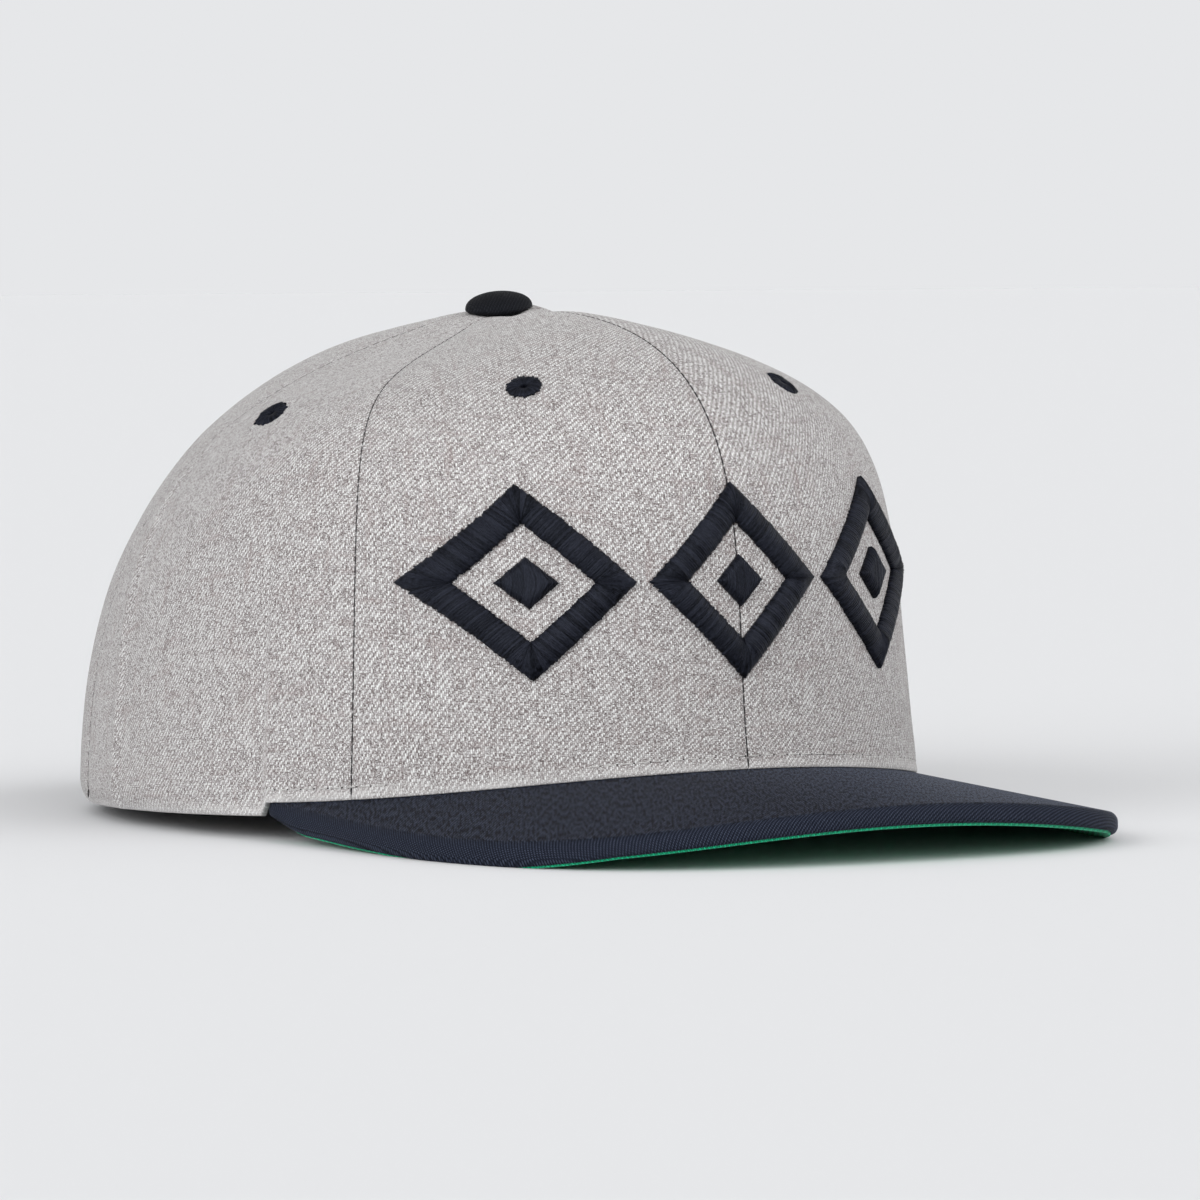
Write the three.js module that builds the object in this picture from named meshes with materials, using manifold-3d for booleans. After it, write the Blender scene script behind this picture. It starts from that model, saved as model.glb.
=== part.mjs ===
// A flat bill cap: six crown panels, a stiff bill in two layers, a sweatband, a covered button,
// six stitched eyelets and a raised front motif of three plain diamonds.
// Millimetres, +Z up. The front faces -Y and the wearer's right side is -X.
// The origin is the middle of the cap's outline box, on the surface that the cap rests on.
import * as THREE from "three";
import { mergeVertices } from "three/addons/utils/BufferGeometryUtils.js";
import Module from "manifold-3d";

const wasm = await Module();
wasm.setup();

const RADIAN = Math.PI / 180;

// Crown. Its plan is two half ellipses that meet at the widest line.
const HALF_WIDTH = 83;
const RIM_FRONT = 103;
const RIM_BACK = 105;
const HEIGHT = 106.7; // top of the sections above the surface, before the button draws the cloth down
const DIMPLE = 1.1; // how far the button draws it down
const DIMPLE_REACH = 5;
const RUMPLE_REACH = 13; // how far from the button the soft cloth round it has settled askew
const RUMPLE_TILT = 0.22; // slope of that cloth, up towards the wearer's left
const TOP_FORWARD = 3; // the button sits this far ahead of the widest line
const WALL = 1.6; // cloth with its backing
const GAP = 0.3; // clearance between separate pieces

// Four sections of the crown, from the rim to the button. Angles run from the front to the back, in degrees.
// wall: height of the wall's handle as a share of the rise. lean: how far that handle stands out.
// shoulder: reach of the top's handle. fall: slope of the top over TOP_SPAN.
// rumple: how much less than that the cloth close to the button falls.
const SECTIONS = [
  { angle: 0, wall: 0.483, lean: -0.086, shoulder: 1.133, fall: -0.032, rumple: -0.25 },
  { angle: 60, wall: 0.918, lean: -0.089, shoulder: 0.94, fall: 0.263, rumple: 0.245 },
  { angle: 120, wall: 0.453, lean: 0.001, shoulder: 0.836, fall: 0.201, rumple: 0.31 },
  { angle: 180, wall: 0.754, lean: 0.002, shoulder: 0.883, fall: 0.094, rumple: 0.1 },
];
const TOP_SPAN = 85;

// Seams: plan angle at the rim, and how much further round they are at the top.
const SEAMS = {
  front: { rim: 0, turn: 0 },
  side: { rim: 54.4, turn: 6.2 },
  rear: { rim: 112, turn: 7 },
  back: { rim: 180, turn: 0 },
};
const PANELS = [
  { name: "front", from: "front", to: "side" },
  { name: "side", from: "side", to: "rear" },
  { name: "back", from: "rear", to: "back" },
];
const SIDES = { right: 1, left: -1 };
const PANEL_COLUMNS = 9;
const PANEL_ROWS = 16;
const ROW_CLOSING = 1.45; // the rows close up towards the button
const PANEL_TOP = 0.99; // where the panels end round the button's shank, as a share of the section

// Bill. It arches across the cap and falls a little towards its front.
const BILL_LENGTH = 63;
const BILL_ARCH = 277; // radius of the arch
const BILL_SLOPE = 0.053;
const BILL_END = 67; // plan angle where the bill meets the crown's rim
const SIDE_HANDLE = 67.7; // how squarely the bill leaves its ends
const FRONT_HANDLE = 82.6; // how square its front corners are
const TOP_THICK = 3.2; // board and upper cover
const UNDER_THICK = 1.0; // lower cover
const BILL_THICK = TOP_THICK + GAP + UNDER_THICK;
const BILL_COLUMNS = 36;
const BILL_ROWS = 5;

// Crown edge behind the bill
const EDGE_STEP = 2.6; // it hangs this far below the bill's upper face at the bill's end
const EDGE_FALL = 1.1; // how evenly it comes down to the surface
const EDGE_REST = 168; // behind this angle it lies on the surface
const END_CLEAR = 0.2; // degrees between the bill's end and the edge that drops past it
const END_RAMP = 0.4; // degrees that the drop takes

const BAND = { height: 32, thick: 1.2, clear: 0.8, lift: 0.8, columns: 48, rows: 3 };
// Button: its heights are measured from the top of the sections. slopes: how it lies askew on the cloth,
// up towards the wearer's left and up towards the back.
const BUTTON = {
  radius: 7.1,
  top: 3.7,
  belly: 0.7,
  foot: -0.15,
  shank: 1.2,
  washer: 4,
  washerTop: -4.6,
  washerThick: 1,
  slopes: [0.18, 0.067],
};
const EYELET = {
  radius: 3.8,
  rise: 0.5,
  bore: 0.8,
  neck: 1.3,
  hole: 1.6,
  inner: 3.4,
  innerClear: 0.6,
  innerThick: 0.5,
};
// Eyelets: plan angles in degrees on each side, and the share of the section from the rim
const EYELETS = [
  { name: "front", right: 30, left: 25.5, share: 0.628 },
  { name: "side", right: 86, left: 86, share: 0.63 },
  { name: "back", right: 156, left: 156, share: 0.57 },
];
const MOTIF = {
  halfWidth: 19,
  halfHeight: 19.5,
  stroke: 5.4,
  pitch: 40.5,
  height: 52.5,
  dot: 5.2,
  thick: 1.6,
};
const MOTIF_STATIONS = 24; // around one diamond, a multiple of four

const COLOURS = { cloth: 0xb9b4b1, bill: 0x2c303a, under: 0x06966a, thread: 0x1b1e27, band: 0x23252b };

// A smooth even curve through the four sections, so that the two sides mirror each other
function section(column, angle) {
  const [front, ahead, behind, back] = SECTIONS.map((row) => row[column]);
  const mean = (front + 2 * ahead + 2 * behind + back) / 6;
  const once = (front + ahead - behind - back) / 3;
  const twice = (front - ahead - behind + back) / 3;
  const thrice = (front - 2 * ahead + 2 * behind - back) / 6;
  return mean + once * Math.cos(angle) + twice * Math.cos(2 * angle) + thrice * Math.cos(3 * angle);
}

// Plan of the rim: angle 0 is the front, and positive angles go to the wearer's right
function rimPlan(angle) {
  const reach = Math.cos(angle) > 0 ? RIM_FRONT : RIM_BACK;
  return new THREE.Vector2(-HALF_WIDTH * Math.sin(angle), -reach * Math.cos(angle));
}

// Height of the bill's upper face against its height at the middle of the crown joint
function billShape(x, y) {
  return BILL_SLOPE * (y + RIM_FRONT) - (x * x) / (2 * BILL_ARCH);
}

// Half of the bill's outline, from its right end on the crown to the middle of its front
function billOutline() {
  const end = rimPlan(BILL_END * RADIAN);
  const front = new THREE.Vector2(0, -(RIM_FRONT + BILL_LENGTH));
  return new THREE.CubicBezierCurve(
    end,
    new THREE.Vector2(end.x, end.y - SIDE_HANDLE),
    new THREE.Vector2(-FRONT_HANDLE, front.y),
    front,
  );
}

const outline = billOutline();
const outlineHeights = outline.getPoints(BILL_COLUMNS / 2).map((point) => billShape(point.x, point.y));
const BILL_HEIGHT = BILL_THICK - Math.min(...outlineHeights); // the bill's corners touch the surface

function billTop(x, y) {
  return BILL_HEIGHT + billShape(x, y);
}

// How far an angle lies from the bill's end, 0, to where the edge rests on the surface, 1
function behindBill(angle) {
  const share = (Math.abs(angle) / RADIAN - BILL_END) / (EDGE_REST - BILL_END);
  return Math.min(Math.max(share, 0), 1);
}

const endPlan = rimPlan(BILL_END * RADIAN);
const EDGE_AT_END = billTop(endPlan.x, endPlan.y) - EDGE_STEP;

// Lower edge of the crown behind the bill
function freeEdge(angle) {
  return EDGE_AT_END * (1 - behindBill(angle)) ** EDGE_FALL;
}

// Lower edge of a panel at a plan point: on the bill, or dropping past its end
function panelEdge(angle, x, y) {
  const past = Math.abs(angle) / RADIAN - BILL_END - END_CLEAR;
  const drop = Math.min(Math.max(past / END_RAMP, 0), 1);
  return THREE.MathUtils.lerp(billTop(x, y) + GAP, freeEdge(angle), drop);
}

// Smooth line that the sections start from, near the edge
function baseLine(angle) {
  const plan = rimPlan(angle);
  if (Math.abs(angle) <= BILL_END * RADIAN) return billTop(plan.x, plan.y);
  return freeEdge(angle) + EDGE_STEP * (1 - behindBill(angle)) ** 2;
}

// Depth of a smooth hollow that fades with the distance from its middle
function dip(distance, depth, reach) {
  return depth * Math.exp(-((distance / reach) ** 2));
}

// Outer face of the crown at a plan angle and a share of its section, 0 at the rim and 1 at the button
function crownPoint(angle, share) {
  const base = baseLine(angle);
  const plan = rimPlan(angle);
  const shoulder = section("shoulder", angle);
  const curve = new THREE.CubicBezierCurve(
    new THREE.Vector2(1, base),
    new THREE.Vector2(1 + section("lean", angle), base + section("wall", angle) * (HEIGHT - base)),
    new THREE.Vector2(shoulder, HEIGHT - section("fall", angle) * shoulder * TOP_SPAN),
    new THREE.Vector2(0, HEIGHT),
  );
  const { x: reach, y: height } = curve.getPoint(share);
  const x = plan.x * reach;
  const y = -TOP_FORWARD + (plan.y + TOP_FORWARD) * reach;
  const fromTop = Math.hypot(x, y + TOP_FORWARD);
  const rumpled = section("rumple", angle) * fromTop + RUMPLE_TILT * x;
  const raised = dip(fromTop, rumpled, RUMPLE_REACH) - dip(fromTop, DIMPLE, DIMPLE_REACH);
  return new THREE.Vector3(x, y, height + raised);
}

// Change of the crown's outer face along the angle and along the section, by small steps
function crownSlopes(angle, share) {
  const step = 1e-3;
  const low = Math.max(share - step, 0);
  const along = crownPoint(angle + step, share).sub(crownPoint(angle - step, share)).divideScalar(2 * step);
  const up = crownPoint(angle, share + step).sub(crownPoint(angle, low)).divideScalar(share + step - low);
  return { along, up };
}

function crownNormal(angle, share) {
  const { along, up } = crownSlopes(angle, share);
  return up.cross(along).normalize();
}

// Point on the crown at a height, moved out from its outer face by a distance
function wallPoint(angle, height, out) {
  let low = 0;
  let high = 1;
  for (let pass = 0; pass < 30; pass += 1) {
    const middle = (low + high) / 2;
    if (crownPoint(angle, middle).z < height) low = middle;
    else high = middle;
  }
  const point = crownPoint(angle, low).addScaledVector(crownNormal(angle, low), out);
  if (low === 0) point.z = height;
  return point;
}

// Point on the front of the crown at a sideways place and a height
function frontPoint(x, height, out) {
  let low = -BILL_END * RADIAN;
  let high = BILL_END * RADIAN;
  for (let pass = 0; pass < 30; pass += 1) {
    const middle = (low + high) / 2;
    if (wallPoint(middle, height, 0).x > x) low = middle;
    else high = middle;
  }
  return wallPoint((low + high) / 2, height, out);
}

// Closed body with its faces pointing out, from a geometry whose vertices have been put in place
function closedBody(geometry) {
  geometry.deleteAttribute("normal");
  geometry.deleteAttribute("uv");
  const merged = mergeVertices(geometry);
  const place = merged.getAttribute("position");
  const corners = merged.index.array;
  const [a, b, c] = [new THREE.Vector3(), new THREE.Vector3(), new THREE.Vector3()];
  let volume = 0;
  for (let i = 0; i < corners.length; i += 3) {
    a.fromBufferAttribute(place, corners[i]);
    b.fromBufferAttribute(place, corners[i + 1]);
    c.fromBufferAttribute(place, corners[i + 2]);
    volume += a.dot(b.cross(c));
  }
  if (volume < 0) {
    for (let i = 0; i < corners.length; i += 3) {
      [corners[i], corners[i + 1]] = [corners[i + 1], corners[i]];
    }
  }
  return merged;
}

// Slab bent into place: place(across, along, out) gives a point for shares from 0 to 1
function bentSlab(columns, rows, place) {
  const geometry = new THREE.BoxGeometry(1, 1, 1, columns, rows, 1);
  const vertices = geometry.getAttribute("position");
  for (let i = 0; i < vertices.count; i += 1) {
    const point = place(vertices.getX(i) + 0.5, vertices.getY(i) + 0.5, vertices.getZ(i) + 0.5);
    vertices.setXYZ(i, point.x, point.y, point.z);
  }
  return closedBody(geometry);
}

// Closed ring bent into place: place(around, corner) gives a point for a share and a section corner
function bentRing(stations, corners, place) {
  const geometry = new THREE.TorusGeometry(2, 1, corners, stations);
  const vertices = geometry.getAttribute("position");
  const shares = geometry.getAttribute("uv");
  for (let i = 0; i < vertices.count; i += 1) {
    const around = Math.round(shares.getX(i) * stations) % stations;
    const corner = Math.round(shares.getY(i) * corners) % corners;
    const point = place(around / stations, corner);
    vertices.setXYZ(i, point.x, point.y, point.z);
  }
  return closedBody(geometry);
}

function toManifold(geometry) {
  return new wasm.Manifold(
    new wasm.Mesh({
      numProp: 3,
      vertProperties: new Float32Array(geometry.getAttribute("position").array),
      triVerts: new Uint32Array(geometry.index.array),
    }),
  );
}

function fromManifold(solid) {
  const mesh = solid.getMesh();
  const geometry = new THREE.BufferGeometry();
  geometry.setAttribute("position", new THREE.BufferAttribute(mesh.vertProperties, 3));
  geometry.setIndex(new THREE.BufferAttribute(mesh.triVerts, 1));
  return geometry;
}

// Turns and moves a body made along +Y so that it stands on the crown at an eyelet
function standOnCrown(geometry, eyelet, sideName) {
  const angle = SIDES[sideName] * eyelet[sideName] * RADIAN;
  const { share } = eyelet;
  const upright = new THREE.Vector3(0, 1, 0);
  const turn = new THREE.Quaternion().setFromUnitVectors(upright, crownNormal(angle, share));
  const centre = crownPoint(angle, share);
  return geometry.applyQuaternion(turn).translate(centre.x, centre.y, centre.z);
}

function seamAngle(seam, share) {
  return (seam.rim + seam.turn * share ** 2) * RADIAN;
}

// Shares of a panel's width where its columns stand, with two more round the drop past the bill's end
function panelColumns(from, to) {
  const columns = Array.from({ length: PANEL_COLUMNS + 1 }, (_, i) => i / PANEL_COLUMNS);
  const drop = [BILL_END + END_CLEAR, BILL_END + END_CLEAR + END_RAMP];
  const inside = drop.filter((angle) => angle > from.rim && angle < to.rim);
  const extra = inside.map((angle) => (angle - from.rim) / (to.rim - from.rim));
  return [...columns, ...extra].sort((a, b) => a - b);
}

function panelGeometry({ from, to }, side) {
  const [start, end] = [SEAMS[from], SEAMS[to]];
  const columns = panelColumns(start, end);
  const place = (across, along, out) => {
    const column = columns[Math.round(across * (columns.length - 1))];
    const share = PANEL_TOP * (1 - (1 - along) ** ROW_CLOSING);
    const middle = THREE.MathUtils.lerp(seamAngle(start, share), seamAngle(end, share), column);
    const halfGap = GAP / 2 / crownSlopes(middle, share).along.length();
    const trim = { 0: halfGap, 1: -halfGap }[column] ?? 0;
    const angle = side * (middle + trim);
    const inward = -WALL * (1 - out);
    if (along > 0) return crownPoint(angle, share).addScaledVector(crownNormal(angle, share), inward);
    const normal = crownNormal(angle, 0).setZ(0).normalize();
    const foot = crownPoint(angle, 0).addScaledVector(normal, inward);
    return foot.setZ(panelEdge(angle, foot.x, foot.y));
  };
  return bentSlab(columns.length - 1, PANEL_ROWS, place);
}

function eyeletHole(eyelet, sideName) {
  const drill = new THREE.CylinderGeometry(EYELET.hole, EYELET.hole, 8 * WALL, 12);
  return standOnCrown(closedBody(drill), eyelet, sideName);
}

function eyeletGeometry(eyelet, sideName) {
  const back = -WALL - EYELET.innerClear;
  const profile = [
    [EYELET.bore, GAP + EYELET.rise],
    [EYELET.bore, back - EYELET.innerThick],
    [EYELET.inner, back - EYELET.innerThick],
    [EYELET.inner, back],
    [EYELET.neck, back],
    [EYELET.neck, GAP],
    [EYELET.radius, GAP],
    [EYELET.radius - 0.4, GAP + EYELET.rise],
    [EYELET.bore, GAP + EYELET.rise],
  ];
  const points = profile.map(([radius, height]) => new THREE.Vector2(radius, height));
  return standOnCrown(closedBody(new THREE.LatheGeometry(points, 16)), eyelet, sideName);
}

// Plan of the bill: across goes from its right end to its left, along from the crown to its outer edge
function billPlan(across, along) {
  const side = across <= 0.5 ? 1 : -1;
  const half = 1 - Math.abs(2 * across - 1);
  const edge = outline.getPoint(half);
  const angle = side * BILL_END * (1 - half) * RADIAN;
  const normal = crownNormal(angle, 0).setZ(0).normalize();
  const joint = crownPoint(angle, 0).addScaledVector(normal, -WALL);
  return new THREE.Vector2(
    THREE.MathUtils.lerp(joint.x, side * edge.x, along),
    THREE.MathUtils.lerp(joint.y, edge.y, along),
  );
}

// One layer of the bill between two depths below its upper face
function billLayer(top, bottom) {
  return bentSlab(BILL_COLUMNS, BILL_ROWS, (across, along, out) => {
    const plan = billPlan(across, along);
    const depth = THREE.MathUtils.lerp(bottom, top, out);
    return new THREE.Vector3(plan.x, plan.y, billTop(plan.x, plan.y) - depth);
  });
}

function sweatbandGeometry() {
  const count = 2 * (BAND.rows + 1);
  return bentRing(BAND.columns, count, (around, corner) => {
    const angle = (2 * around - 1) * Math.PI;
    const outside = corner <= BAND.rows;
    const row = outside ? corner : count - 1 - corner;
    const depth = WALL + BAND.clear + (outside ? 0 : BAND.thick);
    const height = baseLine(angle) + BAND.lift + (BAND.height * row) / BAND.rows;
    return wallPoint(angle, height, -depth);
  });
}

function buttonGeometry() {
  const { radius, top, belly, foot } = BUTTON;
  const dome = new THREE.EllipseCurve(0, belly, radius, top - belly, Math.PI / 2, 0, true);
  const skirt = new THREE.EllipseCurve(0, belly, radius, belly - foot, 0, -0.4 * Math.PI, true);
  const points = [
    ...dome.getPoints(8),
    ...skirt.getPoints(4).slice(1),
    new THREE.Vector2(BUTTON.shank, foot),
    new THREE.Vector2(BUTTON.shank, BUTTON.washerTop),
    new THREE.Vector2(BUTTON.washer, BUTTON.washerTop),
    new THREE.Vector2(BUTTON.washer, BUTTON.washerTop - BUTTON.washerThick),
    new THREE.Vector2(0, BUTTON.washerTop - BUTTON.washerThick),
  ];
  const turned = closedBody(new THREE.LatheGeometry(points, 24).rotateX(Math.PI / 2));
  const places = turned.getAttribute("position");
  for (let i = 0; i < places.count; i += 1) {
    const [x, y, z] = [places.getX(i), places.getY(i), places.getZ(i)];
    if (z > BUTTON.washerTop / 2) places.setZ(i, z + BUTTON.slopes[0] * x + BUTTON.slopes[1] * y);
  }
  return turned.translate(0, -TOP_FORWARD, HEIGHT);
}

// Raised diamond outline, bent on to the front
function diamondGeometry(centre) {
  const flank = (MOTIF.halfWidth * MOTIF.halfHeight) / Math.hypot(MOTIF.halfWidth, MOTIF.halfHeight);
  const insideShare = 1 - MOTIF.stroke / flank;
  return bentRing(MOTIF_STATIONS, 4, (around, corner) => {
    const step = (around * 4) % 1;
    const flanks = [
      [1 - step, step],
      [-step, 1 - step],
      [step - 1, -step],
      [step, step - 1],
    ];
    const [x, z] = flanks[Math.floor(around * 4)];
    const size = corner < 2 ? 1 : insideShare;
    const out = corner === 1 || corner === 2 ? GAP + MOTIF.thick : GAP;
    const height = MOTIF.height + z * size * MOTIF.halfHeight;
    return frontPoint(centre + x * size * MOTIF.halfWidth, height, out);
  });
}

// Small solid diamond at the middle of an outline
function dotGeometry(centre) {
  return bentSlab(2, 2, (across, along, out) => {
    const x = centre + (across - along) * MOTIF.dot;
    const z = MOTIF.height + (across + along - 1) * MOTIF.dot;
    return frontPoint(x, z, GAP + MOTIF.thick * out);
  });
}

const cap = new THREE.Group();
cap.name = "flat_bill_cap";
cap.position.y = (RIM_FRONT + BILL_LENGTH - RIM_BACK) / 2;

function addPiece(name, geometry, colour, roughness = 0.9) {
  const material = new THREE.MeshStandardMaterial({ color: colour, roughness, metalness: 0 });
  const mesh = new THREE.Mesh(geometry, material);
  mesh.name = name;
  cap.add(mesh);
}

for (const [sideName, side] of Object.entries(SIDES)) {
  for (const panel of PANELS) {
    const eyelet = EYELETS.find((row) => row.name === panel.name);
    const wall = toManifold(panelGeometry(panel, side)).subtract(toManifold(eyeletHole(eyelet, sideName)));
    addPiece(`panel_${panel.name}_${sideName}`, fromManifold(wall), COLOURS.cloth);
    addPiece(`eyelet_${panel.name}_${sideName}`, eyeletGeometry(eyelet, sideName), COLOURS.thread, 0.6);
  }
}
addPiece("bill_top", billLayer(0, TOP_THICK), COLOURS.bill);
addPiece("bill_under", billLayer(TOP_THICK + GAP, BILL_THICK), COLOURS.under, 0.8);
addPiece("sweatband", sweatbandGeometry(), COLOURS.band, 0.8);
addPiece("button", buttonGeometry(), COLOURS.thread, 0.8);
for (const [name, place] of Object.entries({ right: -1, middle: 0, left: 1 })) {
  addPiece(`motif_diamond_${name}`, diamondGeometry(place * MOTIF.pitch), COLOURS.thread, 0.5);
  addPiece(`motif_dot_${name}`, dotGeometry(place * MOTIF.pitch), COLOURS.thread, 0.5);
}

export default cap;
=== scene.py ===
# %% [markdown]
# # A flat bill cap
# The crown is six cloth panels sewn edge to edge, with a stitched eyelet in each and a covered button
# where they meet. A stiff bill is sewn to its front, dark above and green below, and a band lines the rim.
# The frame from the CAD model gives every size and place. This script builds the looks on it, in metres,
# with the front towards -Y and the wearer's right side towards -X.

import math

import bpy
import numpy as np
from mathutils import Matrix, Vector, noise


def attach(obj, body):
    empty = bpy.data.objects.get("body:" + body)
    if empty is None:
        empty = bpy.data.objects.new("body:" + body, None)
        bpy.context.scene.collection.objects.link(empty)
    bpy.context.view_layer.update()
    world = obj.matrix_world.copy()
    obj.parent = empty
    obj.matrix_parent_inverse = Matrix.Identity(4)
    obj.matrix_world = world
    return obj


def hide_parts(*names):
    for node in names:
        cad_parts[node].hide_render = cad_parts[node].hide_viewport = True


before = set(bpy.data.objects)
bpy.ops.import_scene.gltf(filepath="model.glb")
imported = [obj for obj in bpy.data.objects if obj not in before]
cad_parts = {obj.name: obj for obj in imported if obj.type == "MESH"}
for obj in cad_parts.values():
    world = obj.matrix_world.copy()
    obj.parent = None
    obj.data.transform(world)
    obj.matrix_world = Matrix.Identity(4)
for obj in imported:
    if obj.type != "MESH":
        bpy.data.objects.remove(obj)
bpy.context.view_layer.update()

# %% [markdown]
# ## Helpers
# Most pieces here are sheets that curve, so each starts as Blender's grid primitive. Its vertices are then
# moved by code to a table of points, as a sculptor would push them, and the same table gives the UV map.
# The UV map is in metres of flat cloth, so a weave keeps its size on every piece.


# %% Helpers for pieces
def clear_selection():
    bpy.ops.object.select_all(action="DESELECT")


def pick(piece):
    clear_selection()
    piece.select_set(True)
    bpy.context.view_layer.objects.active = piece


def copy_of(model):
    """A copy of a piece with a mesh of its own."""
    piece = model.copy()
    piece.data = model.data.copy()
    bpy.context.collection.objects.link(piece)
    return piece


def vertex_places(piece):
    places = np.empty(3 * len(piece.data.vertices), np.float32)
    piece.data.vertices.foreach_get("co", places)
    return places.reshape(-1, 3).astype(float)


def move_vertices(piece, places):
    piece.data.vertices.foreach_set("co", np.asarray(places, np.float32).ravel())
    piece.data.update()


def lay_cloth(piece, lengths):
    """Writes each vertex's place on the flat cloth, in metres, as the piece's UV map."""
    layer = piece.data.uv_layers.active
    layer.name = "Cloth"
    corners = np.empty(len(piece.data.loops), np.int32)
    piece.data.loops.foreach_get("vertex_index", corners)
    layer.data.foreach_set("uv", lengths[corners].astype(np.float32).ravel())


def grid_piece(name, points, cloth):
    """A grid whose vertices stand at points[column, row], and how its vertices are numbered there."""
    columns, rows = points.shape[0] - 1, points.shape[1] - 1
    clear_selection()
    bpy.ops.mesh.primitive_grid_add(x_subdivisions=columns, y_subdivisions=rows, size=1)
    piece = bpy.context.object
    piece.name = name
    piece.data.name = name
    flat = vertex_places(piece)[:, :2] + 0.5
    column = np.rint(flat[:, 0] * columns).astype(int)
    row = np.rint(flat[:, 1] * rows).astype(int)
    move_vertices(piece, points[column, row])
    lay_cloth(piece, cloth[column, row])
    return piece, column, row


def apply_modifiers(piece):
    pick(piece)
    for modifier in list(piece.modifiers):
        bpy.ops.object.modifier_apply(modifier=modifier.name)


def select_vertices(piece, chosen):
    """Selects the chosen vertices of a piece and nothing else, and stays in edit mode."""
    pick(piece)
    bpy.ops.object.mode_set(mode="EDIT")
    bpy.ops.mesh.select_mode(type="VERT")
    bpy.ops.mesh.select_all(action="DESELECT")
    bpy.ops.object.mode_set(mode="OBJECT")
    piece.data.vertices.foreach_set("select", chosen)
    bpy.ops.object.mode_set(mode="EDIT")


def smooth(piece):
    pick(piece)
    bpy.ops.object.shade_smooth()


# Vertices nearer to each other than this are one vertex
SAME_PLACE = 1e-6


def close_body(piece, open_ends=False):
    """Joins vertices that meet, fills any open ends, and points all faces outwards."""
    pick(piece)
    bpy.ops.object.mode_set(mode="EDIT")
    bpy.ops.mesh.select_all(action="SELECT")
    bpy.ops.mesh.remove_doubles(threshold=SAME_PLACE)
    if open_ends:
        bpy.ops.mesh.select_all(action="DESELECT")
        bpy.ops.mesh.select_non_manifold()
        bpy.ops.mesh.edge_face_add()
        bpy.ops.mesh.select_all(action="SELECT")
    bpy.ops.mesh.normals_make_consistent(inside=False)
    bpy.ops.object.mode_set(mode="OBJECT")
    smooth(piece)


def triangles(piece):
    return sum(len(face.vertices) - 2 for face in piece.data.polygons)


def area_of(piece):
    return sum(face.area for face in piece.data.polygons)


def flat_size(cloth):
    """Width and length of a table of places on flat cloth."""
    return [float(np.ptp(cloth[..., axis])) for axis in (0, 1)]


def lengths_along(points, axis):
    """Distance walked along one axis of a table of points, from its first entry."""
    steps = np.linalg.norm(np.diff(points, axis=axis), axis=-1)
    return np.concatenate([np.zeros_like(np.take(steps, [0], axis)), np.cumsum(steps, axis)], axis)


def unit(vectors):
    return vectors / np.linalg.norm(vectors, axis=-1, keepdims=True)


def lerp(start, end, share):
    return start + (end - start) * share


def bezier(share, a, b, c, d):
    """Cubic curve with the handles b and c."""
    rest = 1 - share
    return a * rest**3 + 3 * b * share * rest**2 + 3 * c * share**2 * rest + d * share**3


def halve(low, high, before):
    """The place between two limits where a test stops holding, found by halving again and again."""
    for _ in range(30):
        middle = (low + high) / 2
        holds = before(middle)
        low, high = np.where(holds, middle, low), np.where(holds, high, middle)
    return low


# %% [markdown]
# ## The crown's shape
# The crown has no hard block under it: its rim is two half ellipses, and each section from the rim to the
# button is one smooth curve. These are the formulas that the CAD model uses, so the cloth lies where the
# frame says.

# %% Sizes of the crown
HALF_WIDTH = 0.083
RIM_FRONT = 0.103
RIM_BACK = 0.105
HEIGHT = 0.1067
TOP_FORWARD = 0.003
TOP_SPAN = 0.085
WALL = 0.0016
BILL_LENGTH = 0.063
CENTRE_Y = (RIM_FRONT + BILL_LENGTH - RIM_BACK) / 2
TOP_Y = CENTRE_Y - TOP_FORWARD
# Each curve's handles at the front, at 60 and 120 degrees, and at the back
SECTIONS = {
    "wall": (0.483, 0.918, 0.453, 0.754),
    "lean": (-0.086, -0.089, 0.001, 0.002),
    "shoulder": (1.133, 0.94, 0.836, 0.883),
    "fall": (-0.032, 0.263, 0.201, 0.094),
    "rumple": (-0.25, 0.245, 0.31, 0.1),
}
# The riveted button draws the cloth down, and the soft cloth round it has settled askew
DIMPLE = 0.0011
DIMPLE_REACH = 0.005
RUMPLE_REACH = 0.013
RUMPLE_TILT = 0.22
# Seams: plan angle at the rim, and how much further round they are at the top, in degrees
SEAMS = {"front": (0, 0), "side": (54.4, 6.2), "rear": (112, 7), "back": (180, 0)}
PANELS = {"front": ("front", "side"), "side": ("side", "rear"), "back": ("rear", "back")}
SIDES = {"right": 1, "left": -1}

# %% Sizes of the bill and the crown's lower edge
BILL_ARCH = 0.277
BILL_SLOPE = 0.053
BILL_END = math.radians(67)
SIDE_HANDLE = 0.0677
FRONT_HANDLE = 0.0826
TOP_THICK = 0.0032
LAYER_GAP = 0.0003
BILL_THICK = 0.0045
EDGE_STEP = 0.0026
EDGE_FALL = 1.1
EDGE_REST = math.radians(168)
DROP_START = math.radians(67.2)
DROP_END = math.radians(67.6)


# %% Shape of the bill
def rim_plan(angle):
    reach = np.where(np.cos(angle) > 0, RIM_FRONT, RIM_BACK)
    return np.stack([-HALF_WIDTH * np.sin(angle), CENTRE_Y - reach * np.cos(angle)], -1)


def bill_shape(x, y):
    return BILL_SLOPE * (y - CENTRE_Y + RIM_FRONT) - x**2 / (2 * BILL_ARCH)


def outline(share):
    """Right half of the bill's outline, from its end on the crown to the middle of its front."""
    end = rim_plan(BILL_END)
    front_y = CENTRE_Y - RIM_FRONT - BILL_LENGTH
    x = bezier(share, end[0], end[0], -FRONT_HANDLE, 0)
    y = bezier(share, end[1], end[1] - SIDE_HANDLE, front_y, front_y)
    return np.stack([x, y], -1)


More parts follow.
